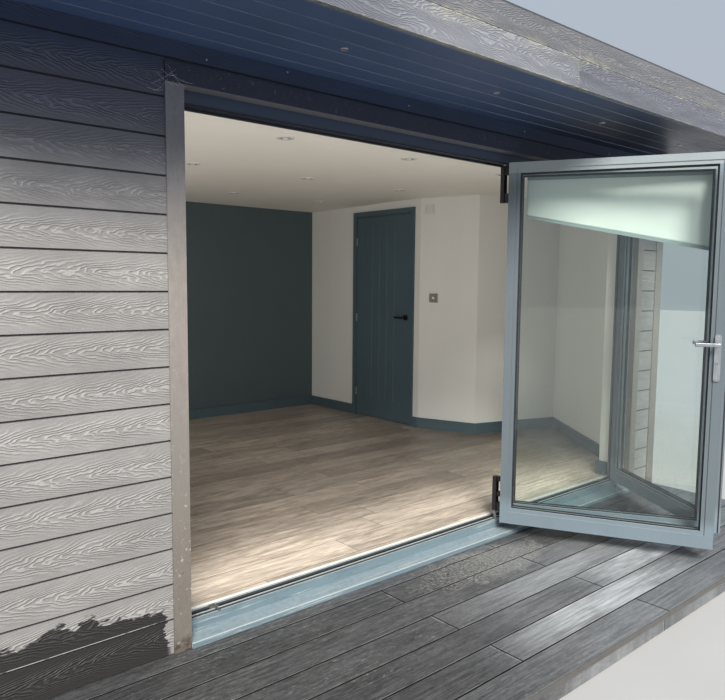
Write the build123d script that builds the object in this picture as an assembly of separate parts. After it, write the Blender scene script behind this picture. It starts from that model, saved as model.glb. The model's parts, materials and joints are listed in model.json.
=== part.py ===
"""Garden office pod with a splayed front corner, folding glazed doors and a small store room.

Plan sizes are in millimetres from the left edge of the door trim (X, to the right)
and from the front face of the wall boards (Y, into the building). Z is above the
ground. save() shifts everything so that the model stands on the middle of its base.
"""

import math
import os

from build123d import *

os.makedirs("parts", exist_ok=True)

# Doorway in plan, and the outside face of the wall boards
OPEN_LEFT = 30.0
OPEN_RIGHT = 3408.0
RIGHT_PIER = 292.0
LEFT = -800.0
FRONT_RIGHT = OPEN_RIGHT + RIGHT_PIER
RIGHT = 4750.0
SPLAY_BACK = 1344.0
BACK = 4026.0

# Walls
CLAD = 21.0
FRONT_WALL = 224.0
SIDE_WALL = 200.0
BOARD_PITCH = 138.0
GROOVE_DEPTH = 5.0
GROOVE_WIDTH = 8.0

# Store door, the tallest fixed size inside, sets the height of the storey
DOOR_WIDTH = 762.0
DOOR_HEIGHT = 1981.0
DOOR_THICK = 40.0
DOOR_UNDER = 4.0
DOOR_GAP = 3.0
DOOR_LINING = 30.0

# Levels
DECK_TOP = 100.0
PLINTH_TOP = DECK_TOP + 15.0
SUBFLOOR = 55.0
SUBFLOOR_TOP = PLINTH_TOP + SUBFLOOR
LAMINATE = 8.0
FLOOR_TOP = SUBFLOOR_TOP + LAMINATE
DOOR_LOW = FLOOR_TOP + DOOR_UNDER
ROUGH_TOP = DOOR_LOW + DOOR_HEIGHT + DOOR_GAP + DOOR_LINING
OVER_DOOR = 110.0
CEILING = ROUGH_TOP + OVER_DOOR
CEILING_BOARD = 15.0
SOFFIT_RISE = 67.0
SOFFIT = CEILING + SOFFIT_RISE
SOFFIT_BOARD = 20.0
WALL_TOP = SOFFIT + SOFFIT_BOARD

# Roof
EAVES_FRONT = 628.0
EAVES_SIDE = 170.0
EAVES_BACK = 60.0
ROOF_LEFT = LEFT - EAVES_SIDE
ROOF_RIGHT = RIGHT + EAVES_SIDE
ROOF_FRONT = -EAVES_FRONT
ROOF_BACK = BACK + EAVES_BACK
FASCIA = 20.0
FASCIA_DROP = 2.0
FASCIA_LOWER = 121.0
FASCIA_JOINT = 1623.0
ROOF_DEPTH = 192.0
ROOF_FALL = 44.0
ROOF_FRONT_TOP = WALL_TOP + ROOF_DEPTH
ROOF_BACK_TOP = ROOF_FRONT_TOP - ROOF_FALL
KERB = 10.0
MEMBRANE = 4.0
GUTTER_REACH = 110.0
GUTTER_DROP = 12.0
GUTTER_DEPTH = 75.0
GUTTER_RUN = 22.0
GUTTER_RISE = 30.0
GUTTER_SHEET = 3.0
GUTTER_LENGTHS = 3
GUTTER_JOINT = 4.0
BRACKET = 25.0
BRACKET_TAIL = 30.0
UNION = 110.0
DOWNPIPE_R = 34.0
DOWNPIPE_SHEET = 3.0
DOWNPIPE_X = LEFT + 160.0
DOWNPIPE_OUT = 48.0
DOWNPIPE_LOW = 160.0
CLIP_UP = 340.0
CLIP_DROP = 254.0
CLIPS = 3
CLIP_TALL = 30.0

# Doorway
HEAD_DROP = 52.0
OPEN_TOP = CEILING - HEAD_DROP
TRIM = 72.0
TRIM_PROUD = 7.0
TRIM_LAP = 42.0
TRIM_HEAD_TOP = OPEN_TOP + TRIM_LAP
CORNER_TRIM = 82.0
FRAME_FRONT = 62.0
FRAME_BACK = 142.0
JAMB = 54.0
HEAD = 76.0
JAMB_LEFT = OPEN_LEFT + JAMB
JAMB_RIGHT = OPEN_RIGHT - JAMB
HEAD_LOW = OPEN_TOP - HEAD
STOP = 9.0
STOP_DEPTH = 12.0
TRACK_Y = 81.0
TRACK_WIDTH = 18.0
LINING = 36.0
STRIP = 18.0

# Folding leaves
AXIS_Y = 45.0
FOLD = 57.7
LEAD_FOLD = 62.0
LEAVES = 3
LEAF_THICK = 70.0
LEAF_LOW = FLOOR_TOP + 5.0
LEAF_TOP = HEAD_LOW - 10.0
STILE = 62.0
TOP_RAIL = 56.0
BOTTOM_RAIL = 87.0
BEAD = 20.0
BEAD_STEP = 5.0
GLASS = 28.0
REBATE = 12.0
HINGE_GAP = 3.0
HINGE_STAND = 9.0
HINGE_LONG = 200.0
KNUCKLE_R = 11.0
JAMB_X = JAMB_RIGHT - HINGE_GAP
LEAF = (JAMB_RIGHT - JAMB_LEFT - (3 * LEAVES - 1) * HINGE_GAP) / LEAVES
LEAF_FULL = LEAF + 2 * HINGE_GAP
LEAF_DEEP = LEAF_THICK + 2 * HINGE_STAND
cos_f, sin_f = math.cos(math.radians(FOLD)), math.sin(math.radians(FOLD))
TRACK_X = JAMB_X - 2 * (LEAF_FULL * cos_f + LEAF_DEEP * sin_f)
PIN_SET = 14.0
BAR = 13.0
ARM = 25.0
HANDLE_SET = 28.0
HANDLE_UP = 862.0
HANDLE_LONG = 235.0
LEVER_UP = 184.0
KEYHOLE_UP = 90.0

# Store room
STORE_X = OPEN_RIGHT + 97.0
STORE_CORNER_Y = 2175.0
NOSE_RIGHT = 199.0
NOSE_FORWARD = 520.0
STORE_NOSE = (STORE_X + NOSE_RIGHT, STORE_CORNER_Y - NOSE_FORWARD)
STORE_RIGHT_Y = SPLAY_BACK + 56.0
PARTITION = 100.0
DOOR_FROM_CORNER = 123.0
LEAF_FRONT_Y = STORE_CORNER_Y + DOOR_FROM_CORNER
ARCHITRAVE = 45.0
ARCHITRAVE_THICK = 15.0
ARCHITRAVE_SET = 5.0
BORDER = 115.0
TOP_BORDER = 95.0
LOW_BORDER = 190.0
PANEL_SINK = 3.0
PLANKS = 5
DOOR_HINGE_SET = 200.0
DOOR_HINGE_TALL = 76.0
LATCH_UP = 1014.0
LATCH_SET = 56.0

# Lights and wall plates
DOWNLIGHT_R = 50.0
LIGHT_COLUMN = 160.0
LIGHT_COLUMN_PITCH = 939.0
LIGHT_COLUMNS = 4
LIGHT_ROW = 844.0
LIGHT_ROW_PITCH = 1070.0
LIGHT_ROWS = 3
SOFFIT_LIGHT_R = 15.0
SOFFIT_LIGHT_X = 553.0
SOFFIT_LIGHT_Y = -330.0
SOFFIT_LIGHT_PITCH = 882.0
PLATE = 86.0
PLATE_THICK = 8.0
VENT_AT = 87.0
VENT_DROP = 122.0
DIMMER_AT = 140.0
DIMMER_UP = 1209.0

# Terrace
DECK_FRONT = -1052.0
DECK_BOARD = 25.0
DECK_PITCH = 160.0
DECK_GAP = 5.0
DECK_JOIST = 47.0
DECK_JOISTS = 12
DECK_FASCIA = 20.0
FIRST_BOARD = -92.0
BUTT_ODD = 985.0
BUTT_EVEN = 1820.0

SKIRTING = 18.0
SKIRTING_HIGH = 95.0

GUTTER_BACK = ROOF_BACK + GUTTER_REACH
X_MID = (ROOF_LEFT + ROOF_RIGHT) / 2
Y_MID = (DECK_FRONT + GUTTER_BACK) / 2


# Shapes


def prism(points, z0, z1):
    """A straight prism over a plan outline."""
    face = make_face(Polyline(*points, close=True))
    return Pos(0, 0, z0) * extrude(face, amount=z1 - z0, dir=(0, 0, 1))


def block(x0, x1, y0, y1, z0, z1):
    size = Box(x1 - x0, y1 - y0, z1 - z0)
    return Pos((x0 + x1) / 2, (y0 + y1) / 2, (z0 + z1) / 2) * size


def rod(x, y, z0, z1, r):
    return Pos(x, y, (z0 + z1) / 2) * Cylinder(r, z1 - z0)


def beam(profile, x0, x1):
    """A profile given as (y, z) points, run along X."""
    face = Plane.YZ * make_face(Polyline(*profile, close=True))
    return Pos(x0, 0, 0) * extrude(face, amount=x1 - x0, dir=(1, 0, 0))


def inset(points, depths):
    """Moves each edge of an anticlockwise outline inwards by its own depth."""
    n = len(points)
    lines = []
    for i in range(n):
        (ax, ay), (bx, by) = points[i], points[(i + 1) % n]
        length = math.hypot(bx - ax, by - ay)
        ux, uy = (bx - ax) / length, (by - ay) / length
        lines.append((ax - uy * depths[i], ay + ux * depths[i], ux, uy))
    corners = []
    for i in range(n):
        px, py, ux, uy = lines[i - 1]
        qx, qy, vx, vy = lines[i]
        cross = ux * vy - uy * vx
        if abs(cross) < 1e-9:
            corners.append((qx, qy))
            continue
        t = ((qx - px) * vy - (qy - py) * vx) / cross
        corners.append((px + ux * t, py + uy * t))
    return corners


def save(name, *shapes):
    solids = []
    for shape in shapes:
        solids += list(shape.solids())
    home = Location((-X_MID, -Y_MID, 0))
    body = Compound(children=[s.moved(home) for s in solids])
    body.label = name
    export_step(body, "parts/" + name + ".step")


# Outlines

outline = [(LEFT, 0.0), (FRONT_RIGHT, 0.0), (RIGHT, SPLAY_BACK), (RIGHT, BACK), (LEFT, BACK)]
SIDES = len(outline)
core = inset(outline, [CLAD] * SIDES)
inner = inset(outline, [FRONT_WALL] + [SIDE_WALL] * (SIDES - 1))


def side_quad(outer_line, inner_line, i, slack=0.0):
    """The mitred plan of one side between two outlines."""
    j = (i + 1) % SIDES
    quad = [outer_line[i], outer_line[j], inner_line[j], inner_line[i]]
    return inset(quad, [0.0, slack, 0.0, slack])


# Base and floor

BEAM = 100.0
SEAT_GAP = 0.3
base_in = inset(core, [BEAM] * SIDES)
beams = [prism(side_quad(core, base_in, i, SEAT_GAP / 2), 0, PLINTH_TOP) for i in range(SIDES)]
floor_joists = []
joist_space = prism(inset(base_in, [SEAT_GAP] * SIDES), 0, PLINTH_TOP)
JOIST_COUNT = 8
for i in range(JOIST_COUNT):
    x = base_in[0][0] + (base_in[2][0] - base_in[0][0]) * (i + 1) / (JOIST_COUNT + 1)
    floor_joists.append(block(x - 24, x + 24, -50, BACK, 20, PLINTH_TOP) & joist_space)
save("base_frame", *beams, *floor_joists)

alcove = block(OPEN_LEFT, OPEN_RIGHT, FRAME_BACK, FRONT_WALL + 1, PLINTH_TOP, SUBFLOOR_TOP)
save("floor_deck", prism(inner, PLINTH_TOP, SUBFLOOR_TOP) + alcove)

reveal_left = OPEN_LEFT + LINING
reveal_right = OPEN_RIGHT - LINING
step = block(
    reveal_left, reveal_right, FRAME_BACK + STRIP, FRONT_WALL + 1, SUBFLOOR_TOP, FLOOR_TOP
)
save("floor_laminate", prism(inner, SUBFLOOR_TOP, FLOOR_TOP) + step)

# Walls

wall = [prism(side_quad(core, inner, i), PLINTH_TOP, WALL_TOP) for i in range(SIDES)]
far = 6000.0
save("front_wall_left", wall[0] & block(-far, OPEN_LEFT, -far, far, 0, WALL_TOP))
save("front_wall_right", wall[0] & block(OPEN_RIGHT, far, -far, far, 0, WALL_TOP))
save("front_lintel", wall[0] & block(OPEN_LEFT, OPEN_RIGHT, -far, far, OPEN_TOP, WALL_TOP))
save("splay_wall", wall[1])
save("right_wall", wall[2])
save("back_wall", wall[3])
save("left_wall", wall[4])


# Wall boards with a V groove at each joint


def cladding(i):
    (ax, ay), (bx, by) = outline[i], outline[(i + 1) % SIDES]
    length = math.hypot(bx - ax, by - ay)
    angle = math.degrees(math.atan2(by - ay, bx - ax))
    low = DECK_TOP + 2
    profile = [(CLAD, low), (0.0, low)]
    z = DECK_TOP + BOARD_PITCH
    half = GROOVE_WIDTH / 2
    while z < SOFFIT - half:
        profile.append((0.0, z - half))
        profile.append((GROOVE_DEPTH, z - 1))
        profile.append((GROOVE_DEPTH, z + 1))
        profile.append((0.0, z + half))
        z += BOARD_PITCH
    profile += [(0.0, SOFFIT), (CLAD, SOFFIT)]
    panel = beam(profile, CORNER_TRIM, length - CORNER_TRIM)
    return panel.moved(Location((ax, ay, 0), (0, 0, angle)))


doorway = block(OPEN_LEFT, OPEN_RIGHT, -50, 100, 0, OPEN_TOP)
save("cladding", cladding(0) - doorway, *[cladding(i) for i in range(1, SIDES)])


def corner_trim(i):
    """An L of board round one corner, proud of the wall boards."""
    before, here, after = outline[i - 1], outline[i], outline[(i + 1) % SIDES]
    ul = math.hypot(here[0] - before[0], here[1] - before[1])
    vl = math.hypot(after[0] - here[0], after[1] - here[1])
    ux, uy = (here[0] - before[0]) / ul, (here[1] - before[1]) / ul
    vx, vy = (after[0] - here[0]) / vl, (after[1] - here[1]) / vl
    proud = inset(outline, [-TRIM_PROUD] * SIDES)[i]
    back_u = (here[0] - ux * CORNER_TRIM, here[1] - uy * CORNER_TRIM)
    back_v = (here[0] + vx * CORNER_TRIM, here[1] + vy * CORNER_TRIM)
    plan = [
        (back_u[0] + uy * TRIM_PROUD, back_u[1] - ux * TRIM_PROUD),
        proud,
        (back_v[0] + vy * TRIM_PROUD, back_v[1] - vx * TRIM_PROUD),
        (back_v[0] - vy * CLAD, back_v[1] + vx * CLAD),
        core[i],
        (back_u[0] - uy * CLAD, back_u[1] + ux * CLAD),
    ]
    return prism(plan, DECK_TOP + 2, SOFFIT)


save("corner_trims", *[corner_trim(i) for i in range(SIDES)])

# Doorway trim: a face board with a return back to the door frame

trim_low = DECK_TOP + 2


def side_trim():
    plan = [
        (0.0, -TRIM_PROUD),
        (TRIM, -TRIM_PROUD),
        (TRIM, FRAME_FRONT),
        (OPEN_LEFT, FRAME_FRONT),
        (OPEN_LEFT, 0.0),
        (0.0, 0.0),
    ]
    body = prism(plan, trim_low, TRIM_HEAD_TOP)
    over = block(-10, TRIM + 10, 0, FRAME_FRONT + 10, OPEN_TOP, TRIM_HEAD_TOP + 10)
    under = block(-10, TRIM + 10, CLAD, FRAME_FRONT + 10, 0, PLINTH_TOP)
    return body - over - under


middle = (JAMB_LEFT + JAMB_RIGHT) / 2
left_trim = side_trim()
right_trim = mirror(left_trim, about=Plane.YZ.offset(middle))
head_profile = [
    (-TRIM_PROUD, TRIM_HEAD_TOP),
    (0.0, TRIM_HEAD_TOP),
    (0.0, OPEN_TOP),
    (FRAME_FRONT, OPEN_TOP),
    (FRAME_FRONT, TRIM_HEAD_TOP - TRIM),
    (-TRIM_PROUD, TRIM_HEAD_TOP - TRIM),
]
head_trim = beam(head_profile, TRIM + 0.3, 2 * middle - TRIM - 0.3)
save("opening_trim", left_trim, head_trim, right_trim)

# Door frame: grooved jambs on the sill and a head with the track

groove_y = (FRAME_FRONT + 12, FRAME_BACK - 30)


def jamb():
    plan = [(OPEN_LEFT, FRAME_FRONT), (JAMB_LEFT, FRAME_FRONT)]
    for y in groove_y:
        plan += [
            (JAMB_LEFT, y - 3),
            (JAMB_LEFT - 4, y - 3),
            (JAMB_LEFT - 4, y + 3),
            (JAMB_LEFT, y + 3),
        ]
    plan += [
        (JAMB_LEFT, FRAME_BACK - STOP_DEPTH),
        (JAMB_LEFT + STOP, FRAME_BACK - STOP_DEPTH),
        (JAMB_LEFT + STOP, FRAME_BACK),
        (OPEN_LEFT, FRAME_BACK),
    ]
    return prism(plan, FLOOR_TOP, HEAD_LOW - 0.3)


left_jamb = jamb()
right_jamb = mirror(left_jamb, about=Plane.YZ.offset(middle))
slot_low = TRACK_Y - TRACK_WIDTH / 2
slot_high = TRACK_Y + TRACK_WIDTH / 2
track_head = [
    (FRAME_FRONT, HEAD_LOW),
    (slot_low, HEAD_LOW),
    (slot_low, HEAD_LOW + 34),
    (slot_high, HEAD_LOW + 34),
    (slot_high, HEAD_LOW),
    (FRAME_BACK - STOP_DEPTH, HEAD_LOW),
    (FRAME_BACK - STOP_DEPTH, HEAD_LOW - STOP),
    (FRAME_BACK, HEAD_LOW - STOP),
    (FRAME_BACK, OPEN_TOP),
    (FRAME_FRONT, OPEN_TOP),
]
head = beam(track_head, OPEN_LEFT, OPEN_RIGHT)
stop_ends = [
    block(OPEN_LEFT - 1, JAMB_LEFT + STOP, 0, 200, HEAD_LOW - STOP - 1, HEAD_LOW),
    block(JAMB_RIGHT - STOP, OPEN_RIGHT + 1, 0, 200, HEAD_LOW - STOP - 1, HEAD_LOW),
]
save("door_frame", left_jamb, right_jamb, head - stop_ends[0] - stop_ends[1])

# Sill: sloped nose, upstand, guide channel and inner lip

SILL_NOSE = 18.0
sill_low = DECK_TOP + 2
sill_profile = [
    (-SILL_NOSE, sill_low),
    (-SILL_NOSE, sill_low + 18),
    (FRAME_FRONT, sill_low + 31),
    (FRAME_FRONT, FLOOR_TOP),
    (slot_low, FLOOR_TOP),
    (slot_low, FLOOR_TOP - 18),
    (slot_high, FLOOR_TOP - 18),
    (slot_high, FLOOR_TOP),
    (slot_high + 8, FLOOR_TOP),
    (slot_high + 8, FLOOR_TOP - 10),
    (FRAME_BACK - 10, FLOOR_TOP - 10),
    (FRAME_BACK - 10, FLOOR_TOP),
    (FRAME_BACK, FLOOR_TOP),
    (FRAME_BACK, PLINTH_TOP),
    (CLAD, PLINTH_TOP),
    (CLAD, sill_low),
]
sill = beam(sill_profile, OPEN_LEFT, OPEN_RIGHT)
nose_cut = block(OPEN_LEFT - 1, TRIM + 0.3, -50, FRAME_FRONT, 0, 300)
nose_cut_right = mirror(nose_cut, about=Plane.YZ.offset(middle))
save("door_sill", sill - nose_cut - nose_cut_right)

lining_left = block(OPEN_LEFT, reveal_left, FRAME_BACK, FRONT_WALL, SUBFLOOR_TOP, OPEN_TOP - LINING)
lining_right = mirror(lining_left, about=Plane.YZ.offset((OPEN_LEFT + OPEN_RIGHT) / 2))
lining_top = block(
    OPEN_LEFT, OPEN_RIGHT, FRAME_BACK, FRONT_WALL, OPEN_TOP - LINING + 0.3, OPEN_TOP
)
threshold = block(
    reveal_left + SEAT_GAP,
    reveal_right - SEAT_GAP,
    FRAME_BACK,
    FRAME_BACK + STRIP,
    SUBFLOOR_TOP,
    FLOOR_TOP + 2,
)
save("reveal_lining", lining_left, lining_right, lining_top, threshold)


# Folding leaves, drawn along X from their own hinge axis and then swung


def leaf_frame():
    start, end = HINGE_GAP, HINGE_GAP + LEAF
    near, far_face = HINGE_STAND, HINGE_STAND + LEAF_THICK
    body = block(start, end, near, far_face, LEAF_LOW, LEAF_TOP)
    x0, x1 = start + STILE, end - STILE
    z0, z1 = LEAF_LOW + BOTTOM_RAIL, LEAF_TOP - TOP_RAIL
    body -= block(x0, x1, near - 1, far_face + 1, z0, z1)
    for y0, y1 in ((near - 1, near + BEAD_STEP), (far_face - BEAD_STEP, far_face + 1)):
        body -= block(x0 - BEAD, x1 + BEAD, y0, y1, z0 - BEAD, z1 + BEAD)
    pane_mid = (near + far_face) / 2
    pane = block(
        x0 - REBATE,
        x1 + REBATE,
        pane_mid - GLASS / 2,
        pane_mid + GLASS / 2,
        z0 - REBATE,
        z1 + REBATE,
    )
    return body - pane, pane


frame_local, pane_local = leaf_frame()
axis_t = Location((TRACK_X, AXIS_Y, 0), (0, 0, -FOLD))
axis_lead = Location((TRACK_X, AXIS_Y, 0), (0, 0, -LEAD_FOLD))
fold_mid = Plane.YZ.offset((TRACK_X + JAMB_X) / 2)


def on_middle(shape):
    return shape.moved(axis_t)


def on_jamb(shape):
    return mirror(shape.moved(axis_t), about=fold_mid)


def on_lead(shape):
    return mirror(shape, about=Plane.XZ).moved(axis_lead)


leaf_middle = on_middle(frame_local)
leaf_jamb = on_jamb(frame_local)
leaf_lead = on_lead(frame_local)
save("leaf_middle", leaf_middle)
save("leaf_jamb", leaf_jamb)
save("leaf_lead", leaf_lead)
save("door_glass", on_middle(pane_local), on_jamb(pane_local), on_lead(pane_local))

# Hinges: three to each axis, and the two travellers that run in the track

hinge_low = LEAF_LOW + 42
hinge_mid = (LEAF_LOW + LEAF_TOP - HINGE_LONG) / 2
hinge_top = LEAF_TOP - 5 - HINGE_LONG
hinge_rows = [(z, z + HINGE_LONG) for z in (hinge_low, hinge_mid, hinge_top)]
apex = (
    TRACK_X + LEAF_FULL * cos_f + LEAF_DEEP * sin_f,
    AXIS_Y - LEAF_FULL * sin_f + LEAF_DEEP * cos_f,
)
pin_x = TRACK_X - PIN_SET
hinges = []
for z0, z1 in hinge_rows:
    for x, y in (apex, (JAMB_X, AXIS_Y)):
        hinges.append(rod(x, y, z0, z1, KNUCKLE_R))
hinges.append(rod(TRACK_X, AXIS_Y, *hinge_rows[1], KNUCKLE_R))


def traveller(z0, z1, arms):
    """A tall bar on the track line, joined by short arms to the hinge knuckle."""
    body = rod(TRACK_X, AXIS_Y, z0, z1, KNUCKLE_R)
    body += block(pin_x - BAR, pin_x + BAR, TRACK_Y - BAR, TRACK_Y + BAR, z0, z1)
    for a0, a1 in arms:
        body += block(pin_x - 8, TRACK_X + 4, AXIS_Y, TRACK_Y, a0, a1)
    return body


low, high = hinge_rows[0], hinge_rows[2]
low_mid = (low[0] + low[1]) / 2
low_arms = ((low[0], low[0] + 2 * ARM), (low_mid - ARM / 2, low_mid + ARM / 2), (low[1] - ARM, low[1]))
hinges.append(traveller(*low, low_arms))
hinges.append(traveller(*high, ((high[0], high[0] + 2 * ARM), (high[1] - 2 * ARM, high[1]))))
around = leaf_middle + leaf_jamb + leaf_lead + right_jamb
save("leaf_hinges", *[h - around for h in hinges])
save(
    "leaf_rollers",
    rod(pin_x, TRACK_Y, high[1], HEAD_LOW + 30, TRACK_WIDTH / 2 - 0.3),
    rod(pin_x, TRACK_Y, FLOOR_TOP - 16, low[0], TRACK_WIDTH / 2 - 0.3),
)

# Lever handle on the lead leaf, inside and outside

handle_s = HINGE_GAP + LEAF - HANDLE_SET
handle_low = LEAF_LOW + HANDLE_UP
plate_mid = handle_low + HANDLE_LONG / 2
lever_z = handle_low + LEVER_UP


def lever_handle(face, out):
    """One side of the handle: face is the leaf's face, out its outward direction."""
    plate = Pos(handle_s, face + out * 4, plate_mid) * Box(30, 8, HANDLE_LONG)
    plate = fillet(plate.edges().filter_by(Axis.Y), 12)
    keyhole = Pos(handle_s, face + out * 11, handle_low + KEYHOLE_UP)
    plate += keyhole * Rot(90, 0, 0) * Cylinder(9, 6)
    plate += Pos(handle_s, face + out * 25, lever_z) * Rot(90, 0, 0) * Cylinder(9, 34)
    bar = Pos(handle_s - 48, face + out * 48, lever_z) * Box(118, 14, 20)
    return plate + fillet(bar.edges(), 5)


inside_face = HINGE_STAND + LEAF_THICK
save(
    "lead_handle",
    on_lead(lever_handle(inside_face, 1)),
    on_lead(lever_handle(HINGE_STAND, -1)),
)

# Blind on the middle leaf, its bottom rail hanging askew

BLIND_START = 84.0
BLIND_END = HINGE_GAP + LEAF - 29
BLIND_DEEP = 26.0
BLIND_TALL = 65.0
blind_n = HINGE_STAND + LEAF_THICK
BLIND_DROP_NEAR = 190.0
BLIND_DROP_FAR = 373.0
BLIND_SLIP = 32.0
BLIND_BAR = 18.0
BLIND_BAR_DEEP = 12.0
rail_low = LEAF_TOP - 9 - BLIND_TALL
blind_rail = block(
    BLIND_START, BLIND_END, blind_n, blind_n + BLIND_DEEP, rail_low, rail_low + BLIND_TALL
)
fabric_at = blind_n + BLIND_DEEP / 2
hang_near = (BLIND_START, rail_low - BLIND_DROP_NEAR)
hang_far = (BLIND_END - BLIND_SLIP, rail_low - BLIND_DROP_FAR)
cloth = make_face(
    Plane.XZ.offset(-fabric_at)
    * Polyline(
        (BLIND_START, rail_low), (BLIND_END - 2, rail_low), hang_far, hang_near, close=True
    )
)
tilt = math.degrees(math.atan2(hang_far[1] - hang_near[1], hang_far[0] - hang_near[0]))
rail_long = math.hypot(hang_far[0] - hang_near[0], hang_far[1] - hang_near[1])
bottom_rail = Pos(hang_near[0], fabric_at, hang_near[1]) * Rot(0, -tilt, 0)
bar_place = Pos(rail_long / 2, 0, -BLIND_BAR / 2)
bottom_rail = bottom_rail * bar_place * Box(rail_long, BLIND_BAR_DEEP, BLIND_BAR)
save("blind_rails", on_middle(blind_rail), on_middle(bottom_rail))
save("blind_fabric", on_middle(extrude(cloth, amount=0.6, both=True)))

# Store room partition, split beside and over its door

nose_x, nose_y = STORE_NOSE
store_line = [(STORE_X, BACK), (STORE_X, STORE_CORNER_Y), STORE_NOSE, (RIGHT, 0.0)]
run = (STORE_RIGHT_Y - nose_y) / (inner[2][0] - nose_x)
store_line[3] = (RIGHT, nose_y + run * (RIGHT - nose_x))
closed = store_line + [(RIGHT + 5 * PARTITION, BACK)]
deep = inset(closed, [PARTITION, PARTITION, PARTITION, 0.0, 0.0])
room_y1 = BACK - SIDE_WALL
roof_run = ROOF_BACK - ROOF_FRONT - 2 * FASCIA
ceiling_drop = ROOF_FALL * (room_y1 - FRONT_WALL) / roof_run
room_top = [(FRONT_WALL, CEILING), (room_y1, CEILING - ceiling_drop)]
room_side = [(FRONT_WALL, FLOOR_TOP), (room_y1, FLOOR_TOP), *room_top[::-1]]
room = beam(room_side, LEFT, RIGHT) & prism(inner, 0, WALL_TOP)


def partition(i, slack_start, slack_end):
    quad = [closed[i], closed[i + 1], deep[i + 1], deep[i]]
    return prism(inset(quad, [0.0, slack_end, 0.0, slack_start]), FLOOR_TOP, CEILING) & room


door_y0 = LEAF_FRONT_Y - DOOR_GAP
door_y1 = LEAF_FRONT_Y + DOOR_WIDTH + DOOR_GAP
door_top = DOOR_LOW + DOOR_HEIGHT + DOOR_GAP
rough_y0 = door_y0 - DOOR_LINING
rough_y1 = door_y1 + DOOR_LINING
back_run = partition(0, 0.0, 0.0)
save("partition_back", back_run & block(-far, far, rough_y1, far, 0, CEILING))
save("partition_over_door", back_run & block(-far, far, rough_y0, rough_y1, ROUGH_TOP, CEILING))
half = SEAT_GAP / 2
corner_run = partition(0, 0.0, half) & block(-far, far, -far, rough_y0, 0, CEILING)
save("partition_front", corner_run, partition(1, half, half), partition(2, half, 0.0))

lining_back = STORE_X + PARTITION
lining_plan = [
    block(STORE_X, lining_back, rough_y0, door_y0, FLOOR_TOP, ROUGH_TOP),
    block(STORE_X, lining_back, door_y1, rough_y1, FLOOR_TOP, ROUGH_TOP),
    block(STORE_X, lining_back, door_y0, door_y1, door_top, ROUGH_TOP),
]
stop_x0 = STORE_X + DOOR_THICK + 1
door_stop = [
    block(stop_x0, stop_x0 + 30, door_y0, door_y0 + 12, FLOOR_TOP, door_top),
    block(stop_x0, stop_x0 + 30, door_y1 - 12, door_y1, FLOOR_TOP, door_top),
    block(stop_x0, stop_x0 + 30, door_y0, door_y1, door_top - 12, door_top),
]
store_lining = lining_plan[0]
for piece in lining_plan[1:] + door_stop:
    store_lining += piece

arch_x0 = STORE_X - ARCHITRAVE_THICK
arch_y0, arch_y1 = door_y0 - ARCHITRAVE_SET, door_y1 + ARCHITRAVE_SET
arch_top = door_top + ARCHITRAVE_SET
architrave = block(
    arch_x0, STORE_X, arch_y0 - ARCHITRAVE, arch_y1 + ARCHITRAVE, FLOOR_TOP, arch_top + ARCHITRAVE
)
architrave -= block(arch_x0 - 1, STORE_X + 1, arch_y0, arch_y1, 0, arch_top)
save("store_door_frame", store_lining + architrave)

# Store door: a leaf with a shallow sunk panel of grooved planks on each face

leaf_x1 = STORE_X + DOOR_THICK
door_leaf = block(
    STORE_X,
    leaf_x1,
    LEAF_FRONT_Y,
    LEAF_FRONT_Y + DOOR_WIDTH,
    DOOR_LOW,
    DOOR_LOW + DOOR_HEIGHT,
)
panel_y = (LEAF_FRONT_Y + BORDER, LEAF_FRONT_Y + DOOR_WIDTH - BORDER)
panel_z = (DOOR_LOW + LOW_BORDER, DOOR_LOW + DOOR_HEIGHT - TOP_BORDER)
panel_faces = ((STORE_X - 1, STORE_X + PANEL_SINK), (leaf_x1 - PANEL_SINK, leaf_x1 + 1))
for x0, x1 in panel_faces:
    door_leaf -= block(x0, x1, *panel_y, *panel_z)
for i in range(1, PLANKS):
    y = panel_y[0] + (panel_y[1] - panel_y[0]) * i / PLANKS
    vee = Rot(0, 0, 45) * Box(7, 7, panel_z[1] - panel_z[0])
    for x in (STORE_X + PANEL_SINK, leaf_x1 - PANEL_SINK):
        door_leaf -= Pos(x, y, sum(panel_z) / 2) * vee
save("store_door_leaf", door_leaf)

HINGE_R = 6.0
hinge_x = STORE_X - HINGE_R
hinge_y = LEAF_FRONT_Y + DOOR_WIDTH + DOOR_GAP / 2
door_hinge_z = [
    DOOR_LOW + DOOR_HINGE_SET,
    DOOR_LOW + (DOOR_HEIGHT - DOOR_HINGE_TALL) / 2,
    DOOR_LOW + DOOR_HEIGHT - DOOR_HINGE_SET - DOOR_HINGE_TALL,
]
save(
    "store_door_hinges",
    *[rod(hinge_x, hinge_y, z, z + DOOR_HINGE_TALL, HINGE_R) for z in door_hinge_z],
)

HANDLE_Z = DOOR_LOW + LATCH_UP
HANDLE_Y = LEAF_FRONT_Y + LATCH_SET


def door_lever(face, out):
    body = Pos(face + out * 5, HANDLE_Y, HANDLE_Z) * Rot(0, 90, 0) * Cylinder(26, 10)
    body += Pos(face + out * 27, HANDLE_Y, HANDLE_Z) * Rot(0, 90, 0) * Cylinder(9, 36)
    bar = Pos(face + out * 52, HANDLE_Y + 50, HANDLE_Z) * Box(14, 122, 19)
    return body + fillet(bar.edges(), 5)


save("store_door_handle", door_lever(STORE_X, -1), door_lever(leaf_x1, 1))

# Skirting round the room and into the doorway's reveals

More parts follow.
